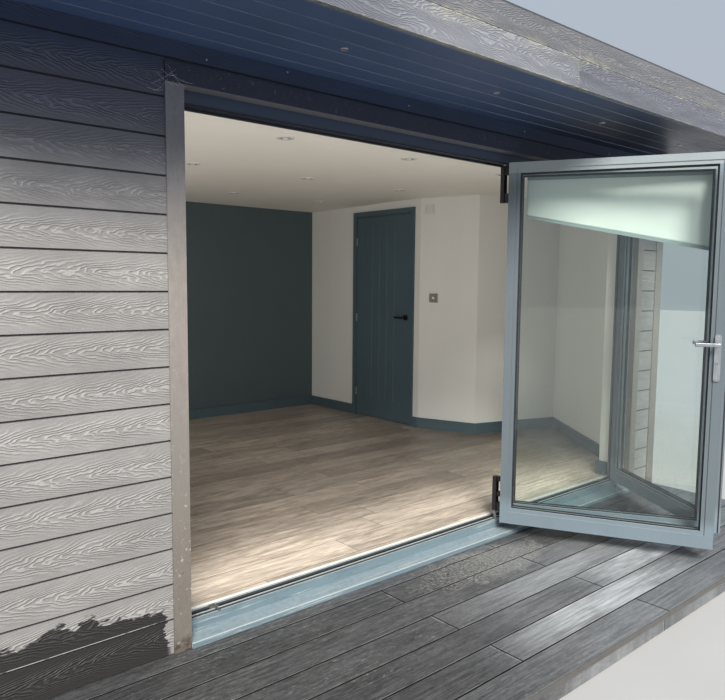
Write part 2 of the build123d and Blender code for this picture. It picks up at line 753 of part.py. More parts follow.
meet_y = nose_y + run * (inner[2][0] - nose_x)
splay_x, splay_y = inner[1]
to_x, to_y = inner[2]
along = ((nose_y - splay_y) - run * (nose_x - splay_x)) / ((to_y - splay_y) - run * (to_x - splay_x))
room_meet = (splay_x + along * (to_x - splay_x), splay_y + along * (to_y - splay_y))
room_line = [
    inner[0],
    (reveal_left, FRONT_WALL),
    (reveal_left, FRAME_BACK),
    (reveal_right, FRAME_BACK),
    (reveal_right, FRONT_WALL),
    inner[1],
    room_meet,
    STORE_NOSE,
    (STORE_X, STORE_CORNER_Y),
    (STORE_X, inner[3][1]),
    inner[4],
]
skirt_in = inset(room_line, [SKIRTING] * len(room_line))
skirt_top = FLOOR_TOP + SKIRTING_HIGH
skirting = prism(room_line, FLOOR_TOP, skirt_top) - prism(skirt_in, FLOOR_TOP - 1, skirt_top + 1)
skirting -= block(
    reveal_left + SKIRTING, reveal_right - SKIRTING, 0, FRONT_WALL + 50, 0, skirt_top + 1
)
skirting -= block(reveal_left - 1, reveal_right + 1, 0, FRAME_BACK + STRIP, 0, skirt_top + 1)
skirting -= block(
    STORE_X - 50, STORE_X + 1, arch_y0 - ARCHITRAVE, arch_y1 + ARCHITRAVE, 0, skirt_top + 1
)
save("skirting", skirting)

# Roof

roof_in = (ROOF_LEFT + FASCIA, ROOF_RIGHT - FASCIA)
roof_y = (ROOF_FRONT + FASCIA, ROOF_BACK - FASCIA)
deck_profile = [
    (roof_y[0], WALL_TOP),
    (roof_y[1], WALL_TOP),
    (roof_y[1], ROOF_BACK_TOP),
    (roof_y[0], ROOF_FRONT_TOP),
]
save("roof_deck", beam(deck_profile, *roof_in))

fascia_low = SOFFIT - FASCIA_DROP
fascia_top = ROOF_FRONT_TOP + KERB
rows = (
    (fascia_low, fascia_low + FASCIA_LOWER),
    (fascia_low + FASCIA_LOWER + 1, fascia_top),
)
fascia = []
for z0, z1 in rows:
    fascia.append(block(ROOF_LEFT, FASCIA_JOINT - 1, ROOF_FRONT, roof_y[0], z0, z1))
    fascia.append(block(FASCIA_JOINT + 1, ROOF_RIGHT, ROOF_FRONT, roof_y[0], z0, z1))
    fascia.append(block(ROOF_LEFT, roof_in[0], roof_y[0] + 0.5, roof_y[1] - 0.5, z0, z1))
    fascia.append(block(roof_in[1], ROOF_RIGHT, roof_y[0] + 0.5, roof_y[1] - 0.5, z0, z1))
fascia.append(block(ROOF_LEFT, ROOF_RIGHT, roof_y[1], ROOF_BACK, fascia_low, ROOF_BACK_TOP))
save("fascia_boards", *fascia)

upstand = 8.0
membrane_profile = [
    (roof_y[0] + upstand, ROOF_FRONT_TOP - ROOF_FALL * upstand / roof_run),
    (roof_y[1], ROOF_BACK_TOP),
    (roof_y[1], ROOF_BACK_TOP + MEMBRANE),
    (roof_y[0] + upstand, ROOF_FRONT_TOP + MEMBRANE),
]
membrane = beam(membrane_profile, roof_in[0] + upstand, roof_in[1] - upstand)
deck_body = beam(deck_profile, *roof_in)
save("roof_membrane", membrane - deck_body)

# Kerb and metal edge round the front and sides of the roof
kerb_y1 = roof_y[1]
edge_out = block(ROOF_LEFT, ROOF_RIGHT, ROOF_FRONT, kerb_y1, ROOF_BACK_TOP - 5, fascia_top + 8)
edge_in = block(
    roof_in[0] + upstand,
    roof_in[1] - upstand,
    roof_y[0] + upstand,
    kerb_y1 + 1,
    ROOF_BACK_TOP - 6,
    fascia_top + 9,
)
edge = edge_out - edge_in - deck_body
for board in fascia:
    edge -= board
save("roof_edge_trim", edge)

# Gutter along the back in three lengths, its brackets and its pipe

gutter_top = ROOF_BACK_TOP - GUTTER_DROP
outlet_z = gutter_top - GUTTER_DEPTH
g0, g1 = ROOF_BACK, GUTTER_BACK - GUTTER_SHEET
gutter_profile = [
    (g0, gutter_top),
    (g0, outlet_z),
    (g1 - GUTTER_RUN, outlet_z),
    (g1, outlet_z + GUTTER_RISE),
    (g1, gutter_top),
    (g1 - GUTTER_SHEET, gutter_top),
    (g1 - GUTTER_SHEET, outlet_z + GUTTER_RISE + 1),
    (g1 - GUTTER_RUN - 1, outlet_z + GUTTER_SHEET),
    (g0 + GUTTER_SHEET, outlet_z + GUTTER_SHEET),
    (g0 + GUTTER_SHEET, gutter_top),
]
end_profile = gutter_profile[:5]
bracket_profile = [
    (g0, outlet_z),
    (g0, outlet_z - BRACKET_TAIL),
    (g0 + GUTTER_SHEET, outlet_z - BRACKET_TAIL),
    (g0 + GUTTER_SHEET, outlet_z - GUTTER_SHEET),
    (g1 - GUTTER_RUN + 1.5, outlet_z - GUTTER_SHEET),
    (g1 + GUTTER_SHEET, outlet_z + GUTTER_RISE - 1),
    (g1 + GUTTER_SHEET, gutter_top - 10),
    (g1, gutter_top - 10),
    (g1, outlet_z + GUTTER_RISE),
    (g1 - GUTTER_RUN, outlet_z),
]
gutter_x0, gutter_x1 = ROOF_LEFT + 4, ROOF_RIGHT - 4
length_pitch = (gutter_x1 - gutter_x0 + GUTTER_JOINT) / GUTTER_LENGTHS
length_long = length_pitch - GUTTER_JOINT
lengths = []
brackets = []
for i in range(GUTTER_LENGTHS):
    x0 = gutter_x0 + length_pitch * i
    lengths.append(beam(gutter_profile, x0, x0 + length_long))
    for share in (0.25, 0.75):
        x = x0 + length_long * share
        brackets.append(beam(bracket_profile, x - BRACKET / 2, x + BRACKET / 2))
    if i:
        x = x0 - GUTTER_JOINT / 2
        brackets.append(beam(bracket_profile, x - UNION / 2, x + UNION / 2))
lengths[0] += beam(end_profile, gutter_x0, gutter_x0 + GUTTER_SHEET)
lengths[-1] += beam(end_profile, gutter_x1 - GUTTER_SHEET, gutter_x1)
pipe_y = ROOF_BACK + DOWNPIPE_OUT
lengths[0] -= rod(DOWNPIPE_X, pipe_y, outlet_z - 10, outlet_z + 10, DOWNPIPE_R - 4)
save("gutter", *lengths)

pipe = rod(DOWNPIPE_X, pipe_y, DOWNPIPE_LOW, outlet_z, DOWNPIPE_R)
pipe -= rod(DOWNPIPE_X, pipe_y, DOWNPIPE_LOW - 1, outlet_z + 1, DOWNPIPE_R - DOWNPIPE_SHEET)
clips = []
clip_low, clip_high = DOWNPIPE_LOW + CLIP_UP, outlet_z - CLIP_DROP
for i in range(CLIPS):
    z0 = clip_low + (clip_high - clip_low) * i / (CLIPS - 1)
    z1 = z0 + CLIP_TALL
    clip = rod(DOWNPIPE_X, pipe_y, z0, z1, DOWNPIPE_R + 4)
    clip += block(DOWNPIPE_X - 15, DOWNPIPE_X + 15, BACK, pipe_y, z0, z1)
    clips.append(clip - rod(DOWNPIPE_X, pipe_y, z0 - 1, z1 + 1, DOWNPIPE_R + SEAT_GAP))
save("downpipe", pipe)
save("gutter_fixings", *brackets, *clips)

# Soffit boards, their joints as grooves, with small round lights

SOFFIT_PITCH = 104.0
SOFFIT_EDGE = 26.0
SOFFIT_JOINT = 3229.5
light_x = [SOFFIT_LIGHT_X + SOFFIT_LIGHT_PITCH * i for i in range(-1, 5)]
soffit_plan = [
    (roof_in[0], roof_y[0]),
    (roof_in[1], roof_y[0]),
    (roof_in[1], core[2][1] - 2),
    (core[2][0], core[2][1] - 2),
    (core[1][0], core[1][1]),
    (roof_in[0], core[0][1]),
]
soffit_front = prism(soffit_plan, SOFFIT, WALL_TOP)
strips = [
    block(roof_in[0], core[0][0], core[0][1] + 2, roof_y[1], SOFFIT, WALL_TOP),
    block(core[2][0], roof_in[1], core[2][1], roof_y[1], SOFFIT, WALL_TOP),
    block(core[0][0] + 2, core[2][0] - 2, core[3][1], roof_y[1], SOFFIT, WALL_TOP),
]
cladding_zone = prism(outline, SOFFIT - 1, WALL_TOP + 1) - prism(core, SOFFIT - 1, WALL_TOP + 1)
y = ROOF_FRONT + SOFFIT_EDGE
while y < core[2][1] - 10:
    soffit_front -= block(-far, far, y - 3, y + 3, SOFFIT - 1, SOFFIT + 4)
    y += SOFFIT_PITCH
soffit_front -= block(SOFFIT_JOINT - 1.5, SOFFIT_JOINT + 1.5, -far, far, SOFFIT - 1, SOFFIT + 4)
for x in light_x:
    soffit_front -= rod(x, SOFFIT_LIGHT_Y, SOFFIT - 1, WALL_TOP + 1, SOFFIT_LIGHT_R - 3)
mid_left = (roof_in[0] + LEFT) / 2
mid_right = (roof_in[1] + RIGHT) / 2
strips[0] -= block(mid_left - 3, mid_left + 3, -far, far, SOFFIT - 1, SOFFIT + 4)
strips[1] -= block(mid_right - 3, mid_right + 3, -far, far, SOFFIT - 1, SOFFIT + 4)
save("soffit_boards", soffit_front, *strips)
lights = []
for x in light_x:
    lamp = rod(x, SOFFIT_LIGHT_Y, SOFFIT - 2, SOFFIT, SOFFIT_LIGHT_R)
    lights.append(lamp + rod(x, SOFFIT_LIGHT_Y, SOFFIT - 1, WALL_TOP, SOFFIT_LIGHT_R - 3))

# Ceiling, falling to the back like the roof, and its lights

board_top = [(y, z + CEILING_BOARD) for y, z in room_top]
ceiling = beam(room_top + board_top[::-1], LEFT, RIGHT) & prism(inner, 0, WALL_TOP)
fall_angle = math.degrees(math.atan2(ceiling_drop, room_y1 - FRONT_WALL))
downlights = []
for i in range(LIGHT_COLUMNS * LIGHT_ROWS):
    x = LIGHT_COLUMN + LIGHT_COLUMN_PITCH * (i % LIGHT_COLUMNS)
    y = LIGHT_ROW + LIGHT_ROW_PITCH * (i // LIGHT_COLUMNS)
    z = CEILING - ceiling_drop * (y - FRONT_WALL) / (room_y1 - FRONT_WALL)
    at = Location((x, y, z), (-fall_angle, 0, 0))
    ceiling -= rod(0, 0, -1, CEILING_BOARD + 5, DOWNLIGHT_R - 8).moved(at)
    lamp = rod(0, 0, -3, 0, DOWNLIGHT_R) + rod(0, 0, -1, 60, DOWNLIGHT_R - 9)
    downlights.append(lamp.moved(at))
save("ceiling", ceiling)
save("downlights", *lights, *downlights)

# Switch plates on the store room's cut corner

ex, ey = nose_x - STORE_X, nose_y - STORE_CORNER_Y
edge_long = math.hypot(ex, ey)
turn = math.degrees(math.atan2(ey, ex))
plates = []
for along_edge, z in ((VENT_AT, CEILING - VENT_DROP), (DIMMER_AT, FLOOR_TOP + DIMMER_UP)):
    plate = fillet(Box(PLATE, PLATE_THICK, PLATE).edges().filter_by(Axis.Y), 4)
    x = STORE_X + ex / edge_long * along_edge
    y = STORE_CORNER_Y + ey / edge_long * along_edge
    at = Location((x, y, z), (0, 0, turn))
    plates.append((Pos(0, -PLATE_THICK / 2, 0) * plate).moved(at))
save("wall_plates", *plates)

# Terrace

board_low = DECK_TOP - DECK_BOARD
deck_boards = []
row_y1 = CLAD - 2
joints = [DECK_PITCH * i for i in range(6)]
edges = [row_y1] + [FIRST_BOARD - j for j in joints] + [DECK_FRONT]
for i in range(len(edges) - 1):
    y1 = edges[i] - (DECK_GAP / 2 if i else 0)
    y0 = edges[i + 1] + (DECK_GAP / 2 if i < len(edges) - 2 else 0)
    butt = BUTT_ODD if i % 2 else BUTT_EVEN
    deck_boards.append(block(LEFT, butt - 1.5, y0, y1, board_low, DECK_TOP))
    deck_boards.append(block(butt + 1.5, FRONT_RIGHT, y0, y1, board_low, DECK_TOP))
save("deck_boards", *deck_boards)

joist_y0 = DECK_FRONT + 2 * DECK_FASCIA
joist_x = (LEFT + DECK_FASCIA, FRONT_RIGHT - DECK_FASCIA)
deck_joists = []
for i in range(DECK_JOISTS):
    x = joist_x[0] + (joist_x[1] - DECK_JOIST - joist_x[0]) * i / (DECK_JOISTS - 1)
    deck_joists.append(block(x, x + DECK_JOIST, joist_y0, CLAD, 0, board_low))
save("deck_joists", *deck_joists)
save(
    "deck_fascia",
    block(LEFT, FRONT_RIGHT, joist_y0 - DECK_FASCIA, joist_y0, 3, board_low),
    block(LEFT, joist_x[0], joist_y0 + 0.5, CLAD - 2, 3, board_low),
    block(joist_x[1], FRONT_RIGHT, joist_y0 + 0.5, CLAD - 2, 3, board_low),
)
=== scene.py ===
import json
import math
import bpy
from mathutils import Vector, Matrix


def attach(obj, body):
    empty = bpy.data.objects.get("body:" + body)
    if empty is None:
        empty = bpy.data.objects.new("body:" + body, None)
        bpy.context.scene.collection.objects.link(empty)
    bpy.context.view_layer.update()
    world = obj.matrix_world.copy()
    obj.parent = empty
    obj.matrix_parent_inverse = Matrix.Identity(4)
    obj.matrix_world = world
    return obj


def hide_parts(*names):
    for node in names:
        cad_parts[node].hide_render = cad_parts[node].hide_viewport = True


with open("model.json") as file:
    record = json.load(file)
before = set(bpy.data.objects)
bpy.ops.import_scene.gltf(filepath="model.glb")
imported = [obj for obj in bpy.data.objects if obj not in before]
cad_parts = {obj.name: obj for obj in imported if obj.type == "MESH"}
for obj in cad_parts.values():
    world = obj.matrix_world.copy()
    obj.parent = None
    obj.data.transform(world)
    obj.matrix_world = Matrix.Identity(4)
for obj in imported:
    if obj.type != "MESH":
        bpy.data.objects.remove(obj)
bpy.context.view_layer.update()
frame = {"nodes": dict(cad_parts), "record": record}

# Looks of the garden office pod. Places are given as the part's source gives them: from the left
# edge of the door trim, from the front face of the boards, and above the ground. Pieces take them
# in millimetres and materials in metres.
X_MID, Y_MID = 1.975, 1.572
scene = bpy.context.scene


def at(x, y, z):
    """A place in the scene, from the part's own millimetres."""
    return Vector((x / 1000 - X_MID, y / 1000 - Y_MID, z / 1000))


# Materials


class Paint:
    """One procedural material. Methods return node sockets; self.p is the place in metres."""

    def __init__(self, name):
        self.mat = bpy.data.materials.new(name)
        self.mat.use_nodes = True
        self.tree = self.mat.node_tree
        self.shader = self.tree.nodes["Principled BSDF"]
        coord = self.tree.nodes.new("ShaderNodeTexCoord").outputs["Object"]
        self.p = self.vec("ADD", coord, (X_MID, Y_MID, 0))
        self.x, self.y, self.z = self.split(self.p)

    def node(self, kind, inputs, **props):
        made = self.tree.nodes.new("ShaderNode" + kind)
        for key, value in props.items():
            setattr(made, key, value)
        for key, value in inputs.items():
            self.put(made.inputs[key], value)
        return made

    def put(self, socket, value):
        if isinstance(value, bpy.types.NodeSocket):
            self.tree.links.new(value, socket)
        else:
            socket.default_value = value

    def split(self, v):
        made = self.node("SeparateXYZ", {0: v})
        return made.outputs[0], made.outputs[1], made.outputs[2]

    def join(self, x, y, z):
        return self.node("CombineXYZ", {0: x, 1: y, 2: z}).outputs[0]

    def vec(self, op, a, b):
        return self.node("VectorMath", {0: a, 1: b}, operation=op).outputs[0]

    def m(self, op, a, b=0.0, c=0.0):
        made = self.node("Math", {0: a, 1: b}, operation=op)
        if op == "COMPARE":
            self.put(made.inputs[2], c)
        return made.outputs[0]

    def add(self, a, b):
        return self.m("ADD", a, b)

    def mul(self, a, b):
        return self.m("MULTIPLY", a, b)

    def sub(self, a, b):
        return self.m("SUBTRACT", a, b)

    def remap(self, v, a, b, c=0.0, d=1.0, smooth=True):
        kind = "SMOOTHSTEP" if smooth else "LINEAR"
        made = self.node("MapRange", {0: v, 1: a, 2: b, 3: c, 4: d}, interpolation_type=kind)
        return made.outputs[0]

    def band(self, v, a, b, soft):
        """1 between a and b, falling to 0 over soft outside them."""
        up = self.remap(v, a - soft, a)
        down = self.remap(v, b, b + soft, 1.0, 0.0)
        return self.mul(up, down)

    def noise(self, v, scale, detail=3.0, rough=0.5, dist=0.0):
        values = {"Vector": v, "Scale": scale, "Detail": detail, "Roughness": rough, "Distortion": dist}
        return self.node("TexNoise", values).outputs[0]

    def cells(self, v, scale):
        """Distance from the nearest of many scattered points."""
        return self.node("TexVoronoi", {"Vector": v, "Scale": scale}, feature="F1").outputs["Distance"]

    def chance(self, v):
        """A steady random number for each whole value of v."""
        return self.node("TexWhiteNoise", {"W": v}, noise_dimensions="1D").outputs["Value"]

    def stretch(self, sx, sy, sz):
        return self.vec("MULTIPLY", self.p, (sx, sy, sz))

    def mix(self, f, a, b, mode="MIX"):
        made = self.node("Mix", {0: f, 6: self.rgb(a), 7: self.rgb(b)}, data_type="RGBA", blend_type=mode)
        return made.outputs[2]

    def rgb(self, c):
        return c if isinstance(c, bpy.types.NodeSocket) else (*c, 1.0)

    def tone(self, colour, v, low, high):
        """Lightens and darkens a colour by a 0 to 1 value."""
        level = self.remap(v, 0.0, 1.0, low, high, smooth=False)
        grey = self.node("CombineColor", {0: level, 1: level, 2: level}).outputs[0]
        return self.mix(1.0, colour, grey, "MULTIPLY")

    def bump(self, height, strength, distance):
        values = {"Strength": strength, "Distance": distance, "Height": height}
        return self.node("Bump", values).outputs[0]

    def done(self, colour, rough, bump=None, **fixed):
        names = {"metal": "Metallic", "shine": "Specular IOR Level", "sheen": "Sheen Weight"}
        self.put(self.shader.inputs["Base Color"], self.rgb(colour))
        self.put(self.shader.inputs["Roughness"], rough)
        if bump is not None:
            self.put(self.shader.inputs["Normal"], bump)
        for key, value in fixed.items():
            self.put(self.shader.inputs[names[key]], value)
        return self.mat


# Wall boards: their cover, the foot of the lowest, and how much Y adds to the run of the grain
PITCH, BOARD_LOW = 0.138, 0.1
TURN = 0.9


def swirl(k, along, across, index, gap, calm, arms=62.0, wander=4.0, bend=2.1):
    """Pressed wood grain: nested arches along a board whose middle is at across = 0.
    Returns thin ridges that calm down towards the board's edges, and fine threads."""
    run = k.add(along, k.mul(k.chance(index), 37.0))
    drift = k.noise(k.join(k.mul(run, 1.3), index, 0.0), 1.0, 1.0)
    side = k.mul(k.sub(k.chance(k.add(index, 31.7)), 0.5), calm * 0.4)
    off = k.sub(across, k.add(side, k.mul(k.sub(drift, 0.5), calm * 0.9)))
    away = k.m("SQRT", k.add(k.mul(off, off), 0.000012))
    slow = k.noise(k.join(k.mul(run, bend), k.mul(off, 13.0), index), 1.0, 1.0, 0.5)
    hooks = k.noise(k.join(k.mul(run, 11.0), k.mul(off, 24.0), index), 1.0, 2.0, 0.6)
    hooked = k.remap(away, 0.004, calm * 0.8, 4.4, 2.4)
    phase = k.sub(k.mul(run, 1.0 / gap), k.add(k.mul(away, arms), k.mul(k.mul(off, off), 160.0)))
    phase = k.add(phase, k.add(k.mul(slow, wander), k.mul(hooks, hooked)))
    wave = k.m("SINE", k.mul(phase, 2 * math.pi))
    ridge = k.m("POWER", k.remap(wave, -1.0, 1.0, smooth=False), 2.2)
    ridge = k.mul(ridge, k.remap(away, calm * 0.35, calm, 1.0, 0.12))
    threads = k.noise(k.join(k.mul(run, 16.0), k.mul(across, 420.0), index), 1.0, 3.0, 0.6)
    return ridge, threads


JOINT_DIRT = (0.012, 0.012, 0.016)
# Upper edge of the damp foot of the wall, as X and Z in metres
WET_LEFT, WET_FOOT, WET_SPAN = -0.8, 0.1, 0.3
WET_EDGE = ((-0.80, 0.236), (-0.72, 0.250), (-0.66, 0.290), (-0.60, 0.317), (-0.53, 0.303), (-0.46, 0.335),
            (-0.41, 0.353), (-0.375, 0.317), (-0.31, 0.350), (-0.28, 0.303), (-0.19, 0.304), (-0.09, 0.284),
            (-0.036, 0.284), (-0.026, 0.165), (-0.008, 0.105))


def boards(name, base, dirt):
    """Pressed composite boards running level, one every PITCH up the wall."""
    k = Paint(name)
    up = k.mul(k.sub(k.z, BOARD_LOW), 1 / PITCH)
    index = k.m("FLOOR", up)
    across = k.mul(k.sub(k.m("FRACT", up), 0.5), PITCH)
    along = k.add(k.x, k.mul(k.y, TURN))
    ridge, threads = swirl(k, along, across, index, 0.052, 0.054)
    # painted shade: the boards are painted darker and bluer towards the eaves, and darker still in the
    # strip above the head trim
    eaves_shade = k.remap(k.z, 1.55, 2.28)
    colour = k.mix(eaves_shade, base, (0.046, 0.056, 0.092))
    shade = k.remap(k.z, 2.22, 2.32)
    colour = k.mix(shade, colour, (0.022, 0.036, 0.078))
    ridge = k.mul(ridge, k.remap(shade, 0.0, 1.0, 1.0, 0.3))
    # the ridges are lighter: the grain's own tone, and a painted highlight on each ridge
    colour = k.tone(colour, ridge, 0.94, 1.30)
    colour = k.tone(colour, threads, 0.88, 1.12)
    colour = k.tone(colour, k.chance(k.add(index, 5.5)), 0.955, 1.045)
    blotch = k.noise(k.stretch(1.3, 1.3, 2.2), 1.0, 4.0, 0.55)
    colour = k.tone(colour, blotch, 0.88, 1.10)
    smudge = k.noise(k.stretch(4.5, 4.5, 7.0), 1.0, 5.0, 0.68)
    colour = k.tone(colour, k.remap(smudge, 0.3, 0.7), 0.90, 1.10)
    # pale scuffs and dust, most near the ground
    scuff = k.remap(k.noise(k.stretch(26.0, 26.0, 60.0), 1.0, 5.0, 0.7), 0.66, 0.74)
    near = k.remap(k.z, 0.35, 1.0, 0.5, 0.06)
    patchy = k.remap(k.noise(k.stretch(3.0, 3.0, 3.0), 1.0, 3.0, 0.6), 0.5, 0.62)
    colour = k.mix(k.mul(k.mul(scuff, near), patchy), colour, dirt)
    specks = k.remap(k.cells(k.p, 34.0), 0.0, 0.085, 1.0, 0.0)
    rare = k.remap(k.noise(k.p, 7.0, 2.0), 0.60, 0.66)
    colour = k.mix(k.mul(k.mul(specks, rare), 0.6), colour, (0.6, 0.58, 0.55))
    # damp foot of the wall left of the doorway: its upper edge, made ragged
    jitter = k.mul(k.sub(k.noise(k.stretch(6.0, 1.0, 40.0), 1.0, 3.0, 0.6), 0.5), 0.11)
    place = k.remap(k.add(k.x, jitter), WET_LEFT, 0.0, smooth=False)
    ramp = k.node("ValToRGB", {0: place})
    stops = ramp.color_ramp.elements
    for i, (x, z) in enumerate(WET_EDGE):
        stop = stops[i] if i < 2 else stops.new(1.0)
        stop.position = (x - WET_LEFT) / -WET_LEFT
        level = (z - WET_FOOT) / WET_SPAN
        stop.color = (level, level, level, 1)
    edge = k.add(k.mul(k.node("RGBToBW", {0: ramp.outputs[0]}).outputs[0], WET_SPAN), WET_FOOT)
    ragged = k.noise(k.stretch(17.0, 1.0, 55.0), 1.0, 4.0, 0.6)
    streak = k.noise(k.stretch(50.0, 1.0, 190.0), 1.0, 3.0, 0.6)
    edge = k.add(edge, k.mul(k.sub(ragged, 0.5), 0.085))
    edge = k.add(edge, k.mul(k.sub(streak, 0.5), 0.035))
    wet = k.remap(k.sub(edge, k.z), -0.003, 0.005)
    wet = k.mul(wet, k.remap(k.y, 0.05, 0.12, 1.0, 0.0))
    wet = k.mul(wet, k.remap(k.x, -0.03, 0.0, 1.0, 0.0))
    colour = k.mix(wet, colour, k.tone((0.030, 0.029, 0.028), ridge, 0.92, 1.4))
    # the joints hold dirt; the one in the damp patch has dried to a pale line
    joint = k.remap(k.m("ABSOLUTE", across), PITCH / 2 - 0.0045, PITCH / 2 - 0.002)
    colour = k.mix(k.mul(joint, 0.9), colour, JOINT_DIRT)
    broken = k.remap(k.noise(k.stretch(9.0, 1.0, 1.0), 1.0, 4.0, 0.7), 0.36, 0.5)
    salt = k.mul(k.band(k.z, 0.2395, 0.2440, 0.0012), k.mul(wet, broken))
    colour = k.mix(k.mul(salt, 0.85), colour, (0.40, 0.43, 0.39))
    rough = k.remap(wet, 0.0, 1.0, 0.60, 0.48)
    height = k.add(ridge, k.mul(threads, 0.3))
    return k.done(colour, rough, k.bump(height, 0.78, 0.0028), shine=0.35)


# Fascia: the middle of the lower row, the step up to the upper row's, the seam between the
# rows, the lowest edge, and the place of the joint along the front
ROW_MIDDLE, ROW_STEP, SEAM, FASCIA_LOW, FASCIA_BUTT = 2.431, 0.113, 2.4915, 2.371, 1.623


def fascia():
    """Roof edge boards with closer swirls, lichen at their joint and lower edge."""
    k = Paint("fascia_boards")
    across = k.sub(k.z, ROW_MIDDLE)
    upper = k.m("GREATER_THAN", k.z, SEAM + 0.001)
    across = k.sub(across, k.mul(upper, ROW_STEP))
    along = k.add(k.x, k.mul(k.y, TURN))
    past = k.m("GREATER_THAN", k.x, FASCIA_BUTT)
    index = k.add(k.mul(upper, 3.0), k.add(k.mul(past, 7.0), 50.0))
    ridge, threads = swirl(k, along, across, index, 0.050, 0.11, 92.0, 14.0, 3.2)
    base = k.mix(upper, (0.140, 0.148, 0.172), (0.158, 0.160, 0.172))
    # the sun has bleached the lower board to the left of the joint
    open_run = k.mul(k.sub(1.0, upper), k.sub(1.0, past))
    pale = k.mul(open_run, k.band(k.x, 0.75, 1.45, 0.40))
    base = k.mix(pale, base, (0.218, 0.226, 0.250))
    calmer = k.remap(k.add(upper, past), 0.0, 1.0, 0.80, 0.62)
    # the ridges are lighter: the grain's own tone, and a painted highlight on each ridge
    colour = k.tone(base, k.mul(ridge, calmer), 0.86, 1.30)
    colour = k.tone(colour, threads, 0.92, 1.08)
    cloud = k.noise(k.stretch(1.1, 1.1, 9.0), 1.0, 4.0, 0.6)
    colour = k.tone(colour, cloud, 0.8, 1.2)
    # lichen and pollen: a thin crust on the two ledges and a soft stain round it
    grime = k.noise(k.stretch(34.0, 34.0, 90.0), 1.0, 6.0, 0.75)
    soft = k.noise(k.stretch(5.0, 5.0, 12.0), 1.0, 4.0, 0.6)
    from_seam = k.m("ABSOLUTE", k.sub(k.z, SEAM))
    seam = k.remap(from_seam, 0.001, 0.016, 1.0, 0.0)
    stain = k.remap(from_seam, 0.004, 0.060, 1.0, 0.0)
    foot = k.remap(k.z, FASCIA_LOW, FASCIA_LOW + 0.013, 0.9, 0.0)
    reach = k.m("MAXIMUM", seam, foot)
    places = k.remap(k.noise(k.stretch(1.6, 1.6, 0.0), 1.0, 3.0, 0.6), 0.40, 0.62, 0.15, 1.0)
    crust = k.remap(k.add(grime, k.mul(reach, 0.30)), 0.72, 0.84)
    wash = k.mul(k.remap(soft, 0.45, 0.75), k.mul(stain, 0.42))
    cream = k.mix(k.noise(k.p, 9.0, 2.0), (0.44, 0.43, 0.36), (0.48, 0.43, 0.24))
    colour = k.mix(k.mul(wash, places), colour, cream)
    colour = k.mix(k.mul(k.mul(crust, places), 0.6), colour, cream)
    butt = k.remap(k.m("ABSOLUTE", k.sub(k.x, FASCIA_BUTT)), 0.0015, 0.007, 0.5, 0.0)
    colour = k.mix(k.mul(butt, k.remap(grime, 0.4, 0.6)), colour, cream)
    gap = k.band(k.z, SEAM, SEAM + 0.0017, 0.0006)
    colour = k.mix(k.mul(gap, 0.8), colour, (0.03, 0.03, 0.03))
    height = k.add(ridge, k.mul(threads, 0.3))
    return k.done(colour, k.remap(grime, 0.3, 0.8, 0.5, 0.7), k.bump(height, 0.75, 0.0026), shine=0.4)


TRIM_HEAD = 2.224


def trim():
    """Plainer boards beside the doorway and on the corners, chipped at the foot."""
    k = Paint("trim_boards")
    threads = k.noise(k.stretch(160.0, 160.0, 5.0), 1.0, 3.0, 0.6)
    level = k.m("GREATER_THAN", k.z, TRIM_HEAD)
    flat = k.noise(k.stretch(5.0, 160.0, 160.0), 1.0, 3.0, 0.6)
    fibre = k.add(k.mul(threads, k.sub(1.0, level)), k.mul(flat, level))
    # painted shade: the trims are painted darker and bluer towards the eaves, and the head trim is painted
    # a dark navy for its shade
    eaves_shade = k.remap(k.z, 1.5, 2.25)
    post = k.mix(eaves_shade, (0.245, 0.222, 0.202), (0.140, 0.145, 0.170))
    base = k.mix(level, post, (0.019, 0.027, 0.052))
    colour = k.tone(base, fibre, 0.90, 1.10)
    colour = k.tone(colour, k.noise(k.stretch(3.0, 3.0, 1.6), 1.0, 4.0, 0.6), 0.85, 1.12)
    mottle = k.noise(k.stretch(40.0, 40.0, 18.0), 1.0, 6.0, 0.75)
    colour = k.tone(colour, mottle, 0.70, 1.30)
    soiled = k.remap(k.z, 0.15, 1.5, 0.78, 0.0)
    colour = k.mix(k.mul(soiled, k.remap(mottle, 0.3, 0.6, 0.6, 1.0)), colour, (0.125, 0.115, 0.098))
    chips = k.remap(k.noise(k.stretch(60.0, 60.0, 40.0), 1.0, 5.0, 0.75), 0.60, 0.66)
    low = k.remap(k.z, 0.12, 1.5, 0.8, 0.12)
    colour = k.mix(k.mul(chips, low), colour, (0.48, 0.45, 0.41))
    dark = k.remap(k.noise(k.stretch(55.0, 55.0, 45.0), 1.0, 4.0, 0.7), 0.62, 0.7)
    foot = k.remap(k.z, 0.10, 0.17, 1.0, 0.0)
    colour = k.mix(k.mul(dark, k.remap(k.z, 0.1, 0.7, 0.9, 0.15)), colour, (0.05, 0.045, 0.04))
    colour = k.mix(k.mul(foot, 0.45), colour, (0.09, 0.08, 0.07))
    soft = k.remap(k.noise(k.stretch(50.0, 50.0, 70.0), 1.0, 5.0, 0.7), 0.42, 0.56)
    rot = k.mul(soft, k.remap(k.z, 0.125, 0.175, 0.9, 0.0))
    colour = k.mix(rot, colour, (0.065, 0.042, 0.026))
    web = k.remap(k.noise(k.stretch(30.0, 30.0, 90.0), 1.0, 6.0, 0.75, 1.2), 0.63, 0.67)
    corner = k.mul(k.band(k.x, -0.01, 0.3, 0.12), k.remap(k.z, 2.05, 2.24))
    colour = k.mix(k.mul(k.mul(web, corner), 0.55), colour, (0.5, 0.49, 0.47))
    return k.done(colour, 0.55, k.bump(k.add(fibre, chips), 0.22, 0.0008), shine=0.35)


# Deck: pitch of the boards, Y of the row at the wall, X of the butt joints in even and odd rows,
# and the front edge
DECK_PITCH, DECK_BACK, BUTT_EVEN, BUTT_ODD, DECK_FRONT = 0.16, 0.092, 1.82, 0.985, -1.050
PALE_WEAR = (0.27, 0.265, 0.25)
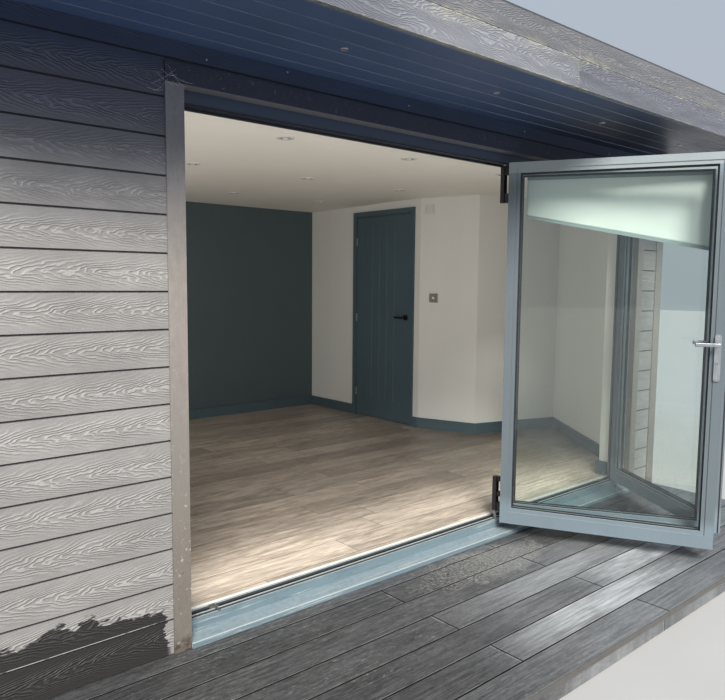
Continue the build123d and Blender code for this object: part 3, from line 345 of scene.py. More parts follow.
# Boards painted paler and bluer as a painted glint of the sky: row, from X, to X, amount
GLINT_ROWS = ((-5.0, 0.80, 2.0, 0.80), (-4.0, 1.55, 2.6, 0.92), (-4.0, 0.90, 1.2, 0.30),
            (-3.0, 0.95, 2.4, 0.42), (-6.0, 0.70, 2.3, 0.22), (-2.0, 1.30, 2.2, 0.20))
# Crusted patch by the sill: X and Y of its middle, and how much narrower it is across the boards
CRUST_X, CRUST_Y, CRUST_NARROW = 1.58, -0.19, 2.9


def decking():
    """Charcoal composite boards with fine brushed grain, pale edges, scuffs and a dried crust."""
    k = Paint("deck_boards")
    lane = k.mul(k.add(k.y, DECK_BACK), 1 / DECK_PITCH)
    row = k.m("FLOOR", lane)
    in_row = k.mul(k.m("FRACT", lane), DECK_PITCH)
    odd = k.m("ABSOLUTE", k.m("MODULO", row, 2.0))
    butt = k.sub(BUTT_EVEN, k.mul(odd, BUTT_EVEN - BUTT_ODD))
    from_butt = k.sub(k.x, butt)
    pick = k.chance(k.add(k.mul(row, 3.0), k.m("GREATER_THAN", from_butt, 0.0)))
    brushed = k.noise(k.join(k.mul(k.x, 9.0), k.mul(k.y, 520.0), k.mul(k.z, 520.0)), 1.0, 3.0, 0.65)
    broad = k.noise(k.join(k.mul(k.x, 3.0), k.mul(k.y, 26.0), row), 1.0, 4.0, 0.6)
    field = k.noise(k.stretch(1.9, 3.6, 1.0), 1.0, 4.0, 0.62, 0.3)
    # painted reflection: the boards are painted lighter towards the right, standing in for the sky's sheen
    # at a grazing view
    right = k.remap(k.x, -0.2, 1.9)
    colour = k.mix(right, (0.056, 0.056, 0.057), (0.074, 0.075, 0.080))
    grit = k.noise(k.stretch(26.0, 84.0, 84.0), 1.0, 6.0, 0.8)
    scored = k.noise(k.join(k.mul(k.x, 3.2), k.mul(k.y, 78.0), row), 1.0, 5.0, 0.72)
    colour = k.tone(colour, brushed, 0.72, 1.32)
    colour = k.tone(colour, k.remap(grit, 0.32, 0.68), 0.62, 1.42)
    colour = k.tone(colour, k.remap(scored, 0.32, 0.68), 0.62, 1.46)
    colour = k.tone(colour, broad, 0.75, 1.28)
    colour = k.tone(colour, pick, 0.82, 1.22)
    # painted glint: paler, bluish boards in front of the folded leaves, standing in for the sky's
    # reflection
    glint = 0.0
    for number, x0, x1, amount in GLINT_ROWS:
        this = k.m("COMPARE", row, number, 0.2)
        span = k.mul(k.remap(k.x, x0, x0 + 0.75), k.remap(k.x, x1, x1 + 0.7, 1.0, 0.12))
        glint = k.add(glint, k.mul(k.mul(this, span), amount))
    streaks = k.noise(k.join(k.mul(k.x, 2.2), k.mul(k.y, 34.0), row), 1.0, 5.0, 0.66)
    glint = k.mul(glint, k.remap(streaks, 0.30, 0.62, 0.50, 1.0))
    glint = k.mul(glint, k.remap(field, 0.34, 0.56, 0.55, 1.0))
    colour = k.mix(glint, colour, k.tone((0.50, 0.53, 0.545), k.remap(scored, 0.3, 0.7), 0.66, 1.26))
    # crusty dried patch by the sill, and crumbs round it
    crumbs = k.noise(k.stretch(56.0, 110.0, 1.0), 1.0, 6.0, 0.85, 0.4)
    thick = k.remap(k.x, 1.0, 1.9, 0.045, -0.03)
    crumbs = k.remap(k.sub(crumbs, thick), 0.475, 0.51)
    offset = k.join(k.sub(k.x, CRUST_X), k.mul(k.sub(k.y, CRUST_Y), CRUST_NARROW), 0.0)
    away = k.node("VectorMath", {0: offset}, operation="LENGTH").outputs["Value"]
    inside = k.remap(k.add(away, k.mul(k.noise(k.p, 7.0, 5.0, 0.7), 0.7)), 0.70, 0.90, 1.0, 0.0)
    colour = k.mix(k.mul(inside, 0.65), colour, (0.030, 0.030, 0.031))
    colour = k.mix(k.mul(k.mul(crumbs, inside), 0.62), colour, (0.34, 0.34, 0.325))
    # scattered flecks and light strokes
    flecks = k.remap(k.noise(k.stretch(24.0, 80.0, 1.0), 1.0, 7.0, 0.85), 0.555, 0.61)
    zone = k.remap(k.noise(k.stretch(2.5, 5.0, 1.0), 1.0, 3.0, 0.6), 0.46, 0.60)
    colour = k.mix(k.mul(k.mul(flecks, zone), 0.6), colour, PALE_WEAR)
    # worn pale arris along each board, on the side towards the wall, and at the butt joints
    worn = k.remap(k.noise(k.stretch(5.0, 8.0, 1.0), 1.0, 5.0, 0.7), 0.38, 0.62, 0.1, 0.75)
    arris = k.band(in_row, 0.0042, 0.0062, 0.0012)
    colour = k.mix(k.mul(arris, worn), colour, PALE_WEAR)
    end = k.mul(k.remap(from_butt, -0.016, -0.005, 0.0, 0.8), k.m("LESS_THAN", from_butt, 0.0))
    end = k.mul(end, k.remap(k.noise(k.p, 18.0, 4.0, 0.7), 0.42, 0.58))
    colour = k.mix(end, colour, PALE_WEAR)
    # painted shade: the faces inside the gaps and at the butt joints are painted near black
    side = k.m("MINIMUM", in_row, k.sub(DECK_PITCH, in_row))
    gap_shade = k.m("MAXIMUM", k.remap(side, 0.0030, 0.0038, 1.0, 0.0),
               k.remap(k.m("ABSOLUTE", from_butt), 0.0034, 0.0044, 1.0, 0.0))
    colour = k.mix(k.mul(gap_shade, 0.95), colour, (0.006, 0.006, 0.007))
    # the front edge is dirtier on its face, and worn along its top
    lip = k.remap(k.y, DECK_FRONT, DECK_FRONT + 0.003, 1.0, 0.0)
    colour = k.mix(k.mul(lip, 0.8), colour, k.tone((0.105, 0.100, 0.094), grit, 0.5, 1.5))
    nose = k.mul(k.remap(k.y, DECK_FRONT, DECK_FRONT + 0.009, 1.0, 0.0), k.remap(k.z, 0.124, 0.128))
    colour = k.mix(k.mul(nose, k.remap(broad, 0.3, 0.7, 0.45, 0.9)), colour, (0.27, 0.285, 0.29))
    rough = k.remap(k.noise(k.stretch(2.0, 7.0, 1.0), 1.0, 4.0, 0.6), 0.3, 0.7, 0.30, 0.50)
    return k.done(colour, rough, k.bump(k.add(brushed, k.mul(scored, 2.0)), 0.4, 0.0009), shine=0.5)


# Depths of the sill's rib edges, which get painted highlights
RIB_EDGES = (0.0705, 0.0915, 0.0965, 0.1335)


def metal_coat(name, base, pale, shade=None, sill=False):
    """Powder coat with an orange-peel surface, pale dust on ledges and light wear.
    The doors pass a painted shade colour for the frame's head as shade, and also get a painted highlight on
    their top rails and painted shade on their stiles; the sill has its own wear, painted highlights on its
    nose and rib edges, and is darker in its channels."""
    k = Paint(name)
    peel = k.noise(k.p, 900.0, 2.0, 0.5)
    cloud = k.noise(k.stretch(2.4, 2.4, 2.4), 1.0, 4.0, 0.6)
    if shade is not None:
        # painted shade: the frame's head above the leaves is painted dark
        head_shade = k.mul(k.remap(k.z, 2.150, 2.172), k.remap(k.y, 0.050, 0.058))
        base = k.mix(head_shade, base, shade)
    colour = k.tone(base, cloud, 0.90, 1.10)
    if shade is not None:
        # painted highlight: the top rails of the leaves are painted paler, as if lit
        top_rail_light = k.mul(k.remap(k.z, 2.108, 2.114), k.remap(k.y, 0.0, 0.04, 1.0, 0.0))
        colour = k.mix(k.mul(top_rail_light, 0.42), colour, pale)
        # painted shade: their stiles are painted darker than the rails
        stile_shade = k.remap(k.m("ABSOLUTE", k.sub(k.z, 1.19)), 0.84, 0.92, 1.0, 0.0)
        colour = k.mix(k.mul(stile_shade, 0.52), colour, (0.070, 0.078, 0.082))
    streak = k.noise(k.stretch(70.0, 70.0, 2.0), 1.0, 3.0, 0.6)
    colour = k.tone(colour, streak, 0.965, 1.035)
    up = k.split(k.node("NewGeometry", {}).outputs["Normal"])[2]
    patchy = k.remap(k.noise(k.p, 38.0, 5.0, 0.7), 0.3, 0.7, 0.25, 0.75)
    dust = k.mul(k.remap(up, 0.5, 0.95), k.mul(patchy, 0.35 if sill else 1.0))
    colour = k.mix(dust, colour, pale)
    if sill:
        rub = k.remap(k.noise(k.stretch(3.0, 150.0, 60.0), 1.0, 6.0, 0.72), 0.54, 0.66)
        wide = k.remap(k.noise(k.stretch(1.6, 14.0, 3.0), 1.0, 4.0, 0.6), 0.42, 0.62)
        colour = k.mix(k.mul(k.mul(rub, wide), 0.8), colour, pale)
        smear = k.remap(k.noise(k.stretch(5.0, 70.0, 40.0), 1.0, 6.0, 0.75), 0.50, 0.66)
        colour = k.mix(k.mul(smear, 0.30), colour, (0.060, 0.088, 0.108))
        specks = k.remap(k.noise(k.p, 150.0, 3.0, 0.7), 0.66, 0.74)
        colour = k.mix(k.mul(specks, 0.6), colour, (0.07, 0.065, 0.06))
        # painted highlights along the nose and the rib edges, and darker inside the channels
        nose = k.band(k.y, -0.0125, -0.0085, 0.0015)
        colour = k.mix(k.mul(nose, 0.75), colour, (0.55, 0.58, 0.57))
        sunk = k.mul(k.remap(k.z, 0.1758, 0.1772, 1.0, 0.0), k.remap(k.y, 0.066, 0.070))
        colour = k.mix(k.mul(sunk, 0.8), colour, (0.035, 0.035, 0.036))
        for y in RIB_EDGES:
            edge = k.band(k.y, y - 0.0012, y + 0.0012, 0.0006)
            highlight_line = k.mul(edge, k.remap(k.z, 0.1768, 0.1778))
            colour = k.mix(k.mul(highlight_line, 0.8), colour, (0.56, 0.57, 0.55))
    spots = k.remap(k.cells(k.p, 26.0), 0.0, 0.05, 0.35, 0.0)
    colour = k.mix(spots, colour, pale)
    rough = k.remap(cloud, 0.3, 0.7, 0.33, 0.46)
    return k.done(colour, rough, k.bump(peel, 0.10, 0.0002), shine=0.5)


STORE_X = 3.55


def wall_paint(name, base, second=None):
    """Rolled emulsion on board: a fine stipple, faint roller bands and scuffs near the floor.
    A second colour starts at the store room."""
    k = Paint(name)
    stipple = k.noise(k.p, 420.0, 3.0, 0.6)
    cloud = k.noise(k.stretch(1.4, 1.4, 0.8), 1.0, 4.0, 0.55)
    bands = k.noise(k.stretch(6.0, 6.0, 0.5), 1.0, 2.0, 0.5)
    if second is not None:
        base = k.mix(k.m("GREATER_THAN", k.x, STORE_X), base, second)
    colour = k.tone(base, cloud, 0.955, 1.045)
    colour = k.tone(colour, bands, 0.98, 1.02)
    marks = k.remap(k.noise(k.stretch(18.0, 18.0, 30.0), 1.0, 5.0, 0.75), 0.69, 0.76)
    low = k.remap(k.z, 0.3, 1.2, 0.3, 0.03)
    colour = k.mix(k.mul(marks, low), colour, (0.30, 0.29, 0.27))
    return k.done(colour, k.remap(stipple, 0.3, 0.7, 0.62, 0.74), k.bump(stipple, 0.12, 0.0003), shine=0.3)


def gloss_wood(name, base, rough=0.38):
    """Brushed satin paint over joinery."""
    k = Paint(name)
    brush = k.noise(k.stretch(150.0, 150.0, 6.0), 1.0, 3.0, 0.6)
    cloud = k.noise(k.p, 2.6, 4.0, 0.6)
    colour = k.tone(base, cloud, 0.90, 1.10)
    colour = k.tone(colour, brush, 0.96, 1.04)
    edge = k.remap(k.noise(k.p, 55.0, 5.0, 0.75), 0.68, 0.76)
    colour = k.mix(k.mul(edge, k.remap(k.z, 0.2, 0.7, 0.35, 0.04)), colour, (0.34, 0.34, 0.32))
    grade = k.remap(brush, 0.3, 0.7, rough, rough + 0.1)
    return k.done(colour, grade, k.bump(brush, 0.12, 0.0003), shine=0.45)


PLANK_WIDE, PLANK_LONG = 0.192, 1.285


def laminate():
    """Grey-brown oak planks along X, with saw marks, growth rings and dark joints."""
    k = Paint("oak_laminate")
    across = k.mul(k.y, 1 / PLANK_WIDE)
    row = k.m("FLOOR", across)
    start = k.mul(k.chance(row), PLANK_LONG)
    length = k.mul(k.add(k.x, start), 1 / PLANK_LONG)
    plank = k.add(k.m("FLOOR", length), k.mul(row, 17.0))
    pick = k.chance(plank)
    moved = k.join(k.add(k.x, k.mul(pick, 40.0)), k.add(k.y, k.mul(pick, 9.0)), pick)
    grain = k.noise(k.vec("MULTIPLY", moved, (4.6, 40.0, 1.0)), 1.0, 6.0, 0.68, 0.5)
    fine = k.noise(k.vec("MULTIPLY", moved, (16.0, 320.0, 1.0)), 1.0, 3.0, 0.6)
    broad = k.noise(k.vec("MULTIPLY", moved, (1.1, 7.0, 1.0)), 1.0, 3.0, 0.6)
    rings = k.m("SINE", k.mul(k.add(k.mul(broad, 9.0), k.mul(grain, 2.0)), 9.0))
    colour = k.mix(k.remap(grain, 0.28, 0.72), (0.185, 0.150, 0.120), (0.44, 0.38, 0.315))
    colour = k.mix(k.remap(broad, 0.35, 0.65, 0.0, 0.45), colour, (0.21, 0.185, 0.158))
    colour = k.tone(colour, k.remap(rings, -1.0, 1.0), 0.93, 1.07)
    colour = k.tone(colour, fine, 0.88, 1.12)
    colour = k.tone(colour, pick, 0.76, 1.20)
    # painted light: the floor is painted lighter by the doorway, where daylight falls, and lighter again
    # towards the far end
    doorway_light = k.remap(k.y, 0.22, 0.95, 1.0, 0.0)
    colour = k.tone(colour, doorway_light, 0.60, 1.75)
    colour = k.tone(colour, k.remap(k.y, 1.7, 3.0), 1.0, 1.9)
    across_in = k.m("ABSOLUTE", k.sub(k.m("FRACT", across), 0.5))
    long_in = k.m("ABSOLUTE", k.sub(k.m("FRACT", length), 0.5))
    joint = k.m("MAXIMUM", k.remap(across_in, 0.4875, 0.4935), k.remap(long_in, 0.4982, 0.4991))
    colour = k.mix(k.mul(joint, 0.8), colour, (0.045, 0.036, 0.028))
    height = k.sub(k.mul(fine, 0.4), joint)
    rough = k.remap(grain, 0.3, 0.7, 0.36, 0.5)
    return k.done(colour, rough, k.bump(height, 0.25, 0.0005), shine=0.45)


SOFFIT_COVER, SOFFIT_START = 0.104, 0.602 + 0.052


def soffit():
    """Dark slate boards under the eaves, with painted highlights beside their joints and painted light that
    is lighter and bluer to the left.
    """
    k = Paint("soffit_boards")
    fibre = k.noise(k.stretch(7.0, 240.0, 1.0), 1.0, 3.0, 0.6)
    cloud = k.noise(k.stretch(0.9, 3.0, 1.0), 1.0, 4.0, 0.6)
    # painted light: the boards are painted lighter and bluer to the left and darker to the right
    near = k.mix(k.remap(k.x, 1.2, 3.0), (0.053, 0.091, 0.190), (0.0070, 0.0155, 0.043))
    colour = k.tone(near, cloud, 0.75, 1.25)
    colour = k.tone(colour, fibre, 0.9, 1.1)
    place = k.m("FRACT", k.mul(k.add(k.y, SOFFIT_START), 1 / SOFFIT_COVER))
    from_joint = k.mul(k.sub(place, 0.5), SOFFIT_COVER)
    # painted highlights: pale lines beside each joint, stronger to the right
    highlight_line = k.band(from_joint, 0.0030, 0.0062, 0.0008)
    broken = k.remap(k.noise(k.stretch(2.0, 9.0, 1.0), 1.0, 4.0, 0.6), 0.30, 0.6, 0.45, 1.0)
    highlight_fade = k.remap(k.x, -0.5, 3.0, 0.45, 1.0)
    colour = k.mix(k.mul(k.mul(highlight_line, broken), highlight_fade), colour, (0.25, 0.32, 0.37))
    dust = k.remap(k.noise(k.p, 60.0, 5.0, 0.75), 0.72, 0.78)
    colour = k.mix(k.mul(dust, 0.4), colour, (0.3, 0.3, 0.3))
    return k.done(colour, k.remap(cloud, 0.3, 0.7, 0.36, 0.5), k.bump(fibre, 0.15, 0.0003), shine=0.4)


def glass():
    """Clear double glazing with a slight green tint, dust and rain marks."""
    k = Paint("pane")
    tree, out = k.tree, k.tree.nodes["Material Output"]
    marks = k.remap(k.noise(k.stretch(120.0, 120.0, 16.0), 1.0, 5.0, 0.75), 0.50, 0.74)
    specks = k.remap(k.cells(k.p, 60.0), 0.0, 0.10, 1.0, 0.0)
    low = k.remap(k.z, 0.3, 1.1, 0.07, 0.02)
    dirt = k.add(k.mul(marks, low), k.mul(specks, 0.035))
    k.done((0.55, 0.58, 0.57), 0.5, shine=0.3)
    clear = k.node("BsdfTransparent", {"Color": (0.955, 0.976, 0.968, 1)})
    sheen = k.node("BsdfGlossy", {"Color": (0.92, 0.97, 1.0, 1), "Roughness": 0.03})
    entering = k.sub(1.0, k.node("NewGeometry", {}).outputs["Backfacing"])
    shine = k.mul(k.node("Fresnel", {"IOR": 1.62}).outputs[0], entering)
    both = k.node("MixShader", {0: shine, 1: clear.outputs[0], 2: sheen.outputs[0]})
    dusty = k.node("MixShader", {0: dirt, 1: both.outputs[0], 2: k.shader.outputs[0]})
    tree.links.new(dusty.outputs[0], out.inputs["Surface"])
    return k.mat


def bare_metal(name, base, rough=0.28):
    """Drawn or brushed metal with upright lines and a little tarnish."""
    k = Paint(name)
    lines = k.noise(k.stretch(900.0, 900.0, 40.0), 1.0, 2.0, 0.6)
    tarnish = k.noise(k.p, 30.0, 4.0, 0.6)
    colour = k.tone(k.tone(base, tarnish, 0.82, 1.1), lines, 0.93, 1.07)
    grade = k.remap(tarnish, 0.3, 0.7, rough, rough + 0.14)
    return k.done(colour, grade, k.bump(lines, 0.08, 0.0002), metal=1.0)


def plastic(name, base, rough, coarse=380.0, strength=0.12, pale=(0.35, 0.35, 0.34)):
    """Moulded plastic, rubber or glass lens with a fine skin and a film of dust."""
    k = Paint(name)
    skin = k.noise(k.p, coarse, 3.0, 0.6)
    cloud = k.noise(k.p, 9.0, 4.0, 0.6)
    colour = k.tone(k.tone(base, cloud, 0.86, 1.12), skin, 0.95, 1.05)
    dust = k.remap(k.noise(k.p, 48.0, 5.0, 0.72), 0.55, 0.8, 0.0, 0.22)
    colour = k.mix(dust, colour, pale)
    return k.done(colour, k.remap(cloud, 0.3, 0.7, rough, rough + 0.14), k.bump(skin, strength, 0.0003))


# Angles of the folded leaves, and the weave of the blind in radians a metre
FOLD, LEAD_FOLD = math.radians(57.7), math.radians(62.0)
THREADS = 5200.0


def cloth():
    """Woven blind cloth: crossed threads, faint folds and a green tinge."""
    k = Paint("blind_cloth")
    run = k.add(k.mul(k.x, math.cos(FOLD)), k.mul(k.y, -math.sin(FOLD)))
    warp = k.m("SINE", k.mul(run, THREADS))
    weft = k.m("SINE", k.mul(k.z, THREADS))
    weave = k.remap(k.mul(warp, weft), -1.0, 1.0)
    cloud = k.noise(k.join(k.mul(run, 3.0), k.mul(k.z, 9.0), 0.0), 1.0, 4.0, 0.6)
    colour = k.tone((0.86, 0.885, 0.84), cloud, 0.92, 1.04)
    colour = k.tone(colour, weave, 0.95, 1.03)
    stain = k.remap(k.noise(k.p, 14.0, 5.0, 0.7), 0.58, 0.75, 0.0, 0.25)
    colour = k.mix(stain, colour, (0.62, 0.66, 0.58))
    return k.done(colour, 0.85, k.bump(weave, 0.15, 0.0002), sheen=0.2)


def timber(name, base, dark):
    """Sawn timber or board with long grain."""
    k = Paint(name)
    grain = k.noise(k.stretch(4.0, 60.0, 60.0), 1.0, 5.0, 0.62, 0.3)
    fine = k.noise(k.stretch(24.0, 300.0, 300.0), 1.0, 3.0, 0.6)
    colour = k.mix(k.remap(grain, 0.32, 0.68), dark, base)
    colour = k.tone(colour, fine, 0.85, 1.15)
    return k.done(colour, k.remap(grain, 0.3, 0.7, 0.62, 0.8), k.bump(fine, 0.3, 0.0006), shine=0.25)


LAP_EVERY = 1.4


def roofing():
    """Black rubber sheet with dust, ponding rings and lap lines."""
    k = Paint("roof_sheet")
    skin = k.noise(k.p, 240.0, 3.0, 0.6)
    pond = k.noise(k.stretch(0.8, 1.2, 1.0), 1.0, 4.0, 0.6, 0.5)
    rings = k.m("ABSOLUTE", k.m("SINE", k.mul(pond, 26.0)))
    colour = k.tone((0.045, 0.046, 0.05), skin, 0.8, 1.2)
    dust = k.mul(k.remap(pond, 0.42, 0.62), k.remap(rings, 0.0, 0.5, 0.42, 0.28))
    colour = k.mix(dust, colour, (0.20, 0.195, 0.18))
    from_lap = k.m("ABSOLUTE", k.sub(k.m("FRACT", k.mul(k.x, 1 / LAP_EVERY)), 0.5))
    lap = k.remap(from_lap, 0.0, 0.006, 1.0, 0.0)
    colour = k.mix(k.mul(lap, 0.7), colour, (0.015, 0.015, 0.016))
    height = k.bump(k.sub(skin, lap), 0.25, 0.0008)
    return k.done(colour, k.remap(pond, 0.3, 0.7, 0.5, 0.72), height, shine=0.35)


def lamp_paint():
    """Satin white bezels."""
    k = Paint("lamp")
    skin = k.noise(k.p, 300.0, 3.0, 0.6)
    cloud = k.noise(k.p, 22.0, 4.0, 0.6)
    colour = k.tone(k.tone((0.60, 0.59, 0.56), cloud, 0.85, 1.1), skin, 0.95, 1.05)
    grade = k.remap(cloud, 0.3, 0.7, 0.32, 0.46)
    return k.done(colour, grade, k.bump(skin, 0.06, 0.0002), shine=0.5)


WHITE = (0.70, 0.685, 0.645)
TEAL = (0.068, 0.102, 0.120)
# painted shade colour for the door frame's head
DOOR_HEAD_SHADE = (0.028, 0.043, 0.082)
paints = {
    "base_timber": timber("base_timber", (0.30, 0.24, 0.17), (0.15, 0.11, 0.075)),
    "floor_panel": timber("floor_panel", (0.50, 0.40, 0.27), (0.34, 0.25, 0.16)),
    "oak_laminate": laminate(),
    "white_trim": gloss_wood("white_trim", (0.74, 0.72, 0.68)),
    "wall_core": wall_paint("wall_core", WHITE),
    "feature_wall": wall_paint("feature_wall", (0.072, 0.096, 0.104), WHITE),
    "wall_boards": boards("wall_boards", (0.262, 0.252, 0.243), (0.46, 0.45, 0.42)),
    "trim_boards": trim(),
    "door_metal": metal_coat("door_metal", (0.160, 0.205, 0.235), (0.42, 0.45, 0.44), DOOR_HEAD_SHADE),
    "sill_metal": metal_coat("sill_metal", (0.148, 0.208, 0.240), (0.46, 0.49, 0.49), sill=True),
    "pane": glass(),
    "hinge_black": metal_coat("hinge_black", (0.012, 0.013, 0.017), (0.10, 0.10, 0.10)),
    "bright_metal": bare_metal("bright_metal", (0.46, 0.48, 0.50)),
    "blind_metal": metal_coat("blind_metal", (0.30, 0.35, 0.36), (0.5, 0.52, 0.5)),
    "blind_cloth": cloth(),
    "wall_plaster": wall_paint("wall_plaster", (0.645, 0.636, 0.606)),
    "ceiling_plaster": wall_paint("ceiling_plaster", (0.78, 0.745, 0.685)),
    "door_paint": gloss_wood("door_paint", TEAL, 0.42),
    "dark_metal": bare_metal("dark_metal", (0.10, 0.09, 0.08), 0.35),
    "lamp": lamp_paint(),
    "plate_white": plastic("plate_white", (0.60, 0.59, 0.56), 0.25),
    "roof_core": timber("roof_core", (0.42, 0.34, 0.23), (0.26, 0.20, 0.13)),
    "roof_sheet": roofing(),
    "roof_edge": metal_coat("roof_edge", (0.062, 0.064, 0.07), (0.20, 0.20, 0.19)),
    "fascia_boards": fascia(),
    "soffit_boards": soffit(),
    "rainwater": plastic("rainwater", (0.022, 0.022, 0.024), 0.35, 260.0),
    "deck_boards": decking(),
    "rubber": plastic("rubber", (0.012, 0.012, 0.014), 0.55, 500.0, 0.1, (0.06, 0.06, 0.06)),
    "lens": plastic("lens", (0.30, 0.29, 0.27), 0.2, 260.0, 0.05, (0.5, 0.5, 0.48)),
    "bulb": plastic("bulb", (0.82, 0.81, 0.77), 0.2, 260.0, 0.05, (0.8, 0.8, 0.78)),
    "steel": bare_metal("steel", (0.50, 0.49, 0.47), 0.32),
    "spacer": bare_metal("spacer", (0.42, 0.43, 0.44), 0.4),
}
slot_of = {s["node"]: s["material_slot"] for s in frame["record"]["subparts"]}
for name, obj in frame["nodes"].items():
    obj.data.materials.clear()
    obj.data.materials.append(paints[slot_of[name]])


# Pieces


def piece(name, verts, faces, paint, body="pod", smooth=False):
    mesh = bpy.data.meshes.new(name)
    mesh.from_pydata([tuple(v) for v in verts], [], faces)
    mesh.update()
    if smooth:
        mesh.shade_smooth()
    obj = bpy.data.objects.new(name, mesh)
    scene.collection.objects.link(obj)
    obj.data.materials.append(paints[paint])
    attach(obj, body)
    return obj


def box_parts(boxes):
    """Verts and faces of boxes, each given as its eight corners, bottom ring then top ring."""
    verts, faces = [], []
    for corners in boxes:
        n = len(verts)
        verts += corners
        ring = [(0, 1, 5, 4), (1, 2, 6, 5), (2, 3, 7, 6), (3, 0, 4, 7), (3, 2, 1, 0), (4, 5, 6, 7)]
        faces += [tuple(n + i for i in f) for f in ring]
    return verts, faces


def slab(place, s0, s1, n0, n1, z0, z1):
    """Corners of a box given in a local frame: place(s, n, z) returns its point."""
    low = [place(s0, n0, z0), place(s1, n0, z0), place(s1, n1, z0), place(s0, n1, z0)]
    high = [place(s0, n0, z1), place(s1, n0, z1), place(s1, n1, z1), place(s0, n1, z1)]
    return low + high


def lathe(profile, centre, axis, steps=28):
    """A turned shape: (radius, along) points round an axis through centre."""
    axis = Vector(axis).normalized()
    side = axis.orthogonal().normalized()
    other = axis.cross(side)
    verts, faces = [], []
    for r, a in profile:
        for i in range(steps):
            t = 2 * math.pi * i / steps
            verts.append(Vector(centre) + axis * a + (side * math.cos(t) + other * math.sin(t)) * r)
    for j in range(len(profile) - 1):
        for i in range(steps):
            k = (i + 1) % steps
            faces.append((j * steps + i, j * steps + k, (j + 1) * steps + k, (j + 1) * steps + i))
    faces.append(tuple(reversed(range(steps))))
    faces.append(tuple(range((len(profile) - 1) * steps, len(profile) * steps)))
    return verts, faces


def gather(name, shapes, paint, body="pod", smooth=False):
    verts, faces = [], []
    for v, f in shapes:
        n = len(verts)
        verts += v
        faces += [tuple(n + i for i in face) for face in f]
    return piece(name, verts, faces, paint, body, smooth)


# Leaf frames of reference, as the part has them
JAMB_X, AXIS_Y, LEAF, GAP = 3351.0, 45.0, 1082.0, 3.0
FULL, DEEP = LEAF + 2 * GAP, 88.0
TRACK_X = JAMB_X - 2 * (FULL * math.cos(FOLD) + DEEP * math.sin(FOLD))
LEAF_LOW, LEAF_TOP = 183.0, 2168.0


def turned(angle, flip=1.0, mirror=False):
    """Local (along, out, up) of a leaf hinged on the track axis to the row frame."""
    c, s = math.cos(angle), math.sin(angle)

    def place(a, n, z):
        n = n * flip
        x, y = TRACK_X + a * c + n * s, AXIS_Y - a * s + n * c
        if mirror:
            x = TRACK_X + JAMB_X - x
        return at(x, y, z)

    return place


on_middle = turned(FOLD)
on_jamb = turned(FOLD, mirror=True)
on_lead = turned(LEAD_FOLD, flip=-1.0)
leaves = {"middle": on_middle, "jamb": on_jamb, "lead": on_lead}
STILE, LOW_RAIL, TOP_RAIL = 62, 87, 56
PANE_N, PANE_HALF = 44, 14


def ring(place, s0, s1, z0, z1, wide, n0, n1):
    """A mitred frame of four bars round an opening, wide inwards, between depths n0 and n1."""
    outer = [(s0, z0), (s1, z0), (s1, z1), (s0, z1)]
    inner = [(s0 + wide, z0 + wide), (s1 - wide, z0 + wide), (s1 - wide, z1 - wide), (s0 + wide, z1 - wide)]
    verts = []
    for n in (n0, n1):
        verts += [place(s, n, z) for s, z in outer] + [place(s, n, z) for s, z in inner]
    faces = []
    for i in range(4):
        j = (i + 1) % 4
        faces.append((i, j, 4 + j, 4 + i))
        faces.append((8 + i, 12 + i, 12 + j, 8 + j))
        faces.append((4 + i, 4 + j, 12 + j, 12 + i))
        faces.append((i, 8 + i, 8 + j, j))
    return verts, faces


# Glazing seals, on both faces of each pane
seals = []
for place in leaves.values():
    opening = (GAP + STILE - 1, GAP + LEAF - STILE + 1, LEAF_LOW + LOW_RAIL - 1, LEAF_TOP - TOP_RAIL + 1)
    seals.append(ring(place, *opening, 6, 23, PANE_N - PANE_HALF - 0.3))
    seals.append(ring(place, *opening, 6, PANE_N + PANE_HALF + 0.3, 65))
gather("glazing_seals", seals, "rubber")

# Meeting seals: black strips down both long edges of each leaf
edge_seals = []
for place in leaves.values():
    for s0, s1 in ((GAP - 1.5, GAP), (GAP + LEAF, GAP + LEAF + 1.5)):
        for n0, n1 in ((20, 28), (60, 68)):
            edge_seals.append(box_parts([slab(place, s0, s1, n0, n1, LEAF_LOW + 2, LEAF_TOP - 2)]))
gather("leaf_edge_seals", edge_seals, "rubber")

# Seals on the frame's stop, along the head and down the left jamb
HEAD = 2178.0
frame_seals = [
    box_parts([slab(at, 93.5, 3344, 124, 129.5, HEAD - 9, HEAD - 0.5)]),
    box_parts([slab(at, 93.5, 3344, 64, 69, HEAD - 6, HEAD - 0.5)]),
    box_parts([slab(at, 84.3, 92, 124, 129.5, 180, HEAD - 12)]),
]
gather("frame_seals", frame_seals, "rubber")

# Downlights: a lens and a bulb inside each bezel, square to the sloping ceiling
CEIL, ROOM_FRONT, ROOM_BACK = 2306.0, 224, 3826
ROOM_DEEP = ROOM_BACK - ROOM_FRONT
ROOF_FALL, ROOF_RUN = 44.0, 4674
DROP = ROOF_FALL * ROOM_DEEP / ROOF_RUN
LIGHT_X, LIGHT_X_PITCH, LIGHT_COLUMNS = 160.0, 939, 4
LIGHT_Y, LIGHT_Y_PITCH, LIGHT_ROWS = 844.0, 1070, 3
LENS = [(0.033, -0.0008), (0.033, 0.0006), (0.030, 0.0010)]
BULB = [(0.016, 0.0008), (0.016, 0.0020), (0.013, 0.0032), (0.006, 0.0038)]
RIM = [(0.050, -0.001), (0.0495, 0.0015), (0.046, 0.003), (0.038, 0.0032), (0.034, 0.0015),
       (0.033, -0.0005)]
tilt = math.atan2(DROP, ROOM_DEEP)
down = Vector((0, -math.sin(tilt), -math.cos(tilt)))
lenses, bulbs, rims = [], [], []
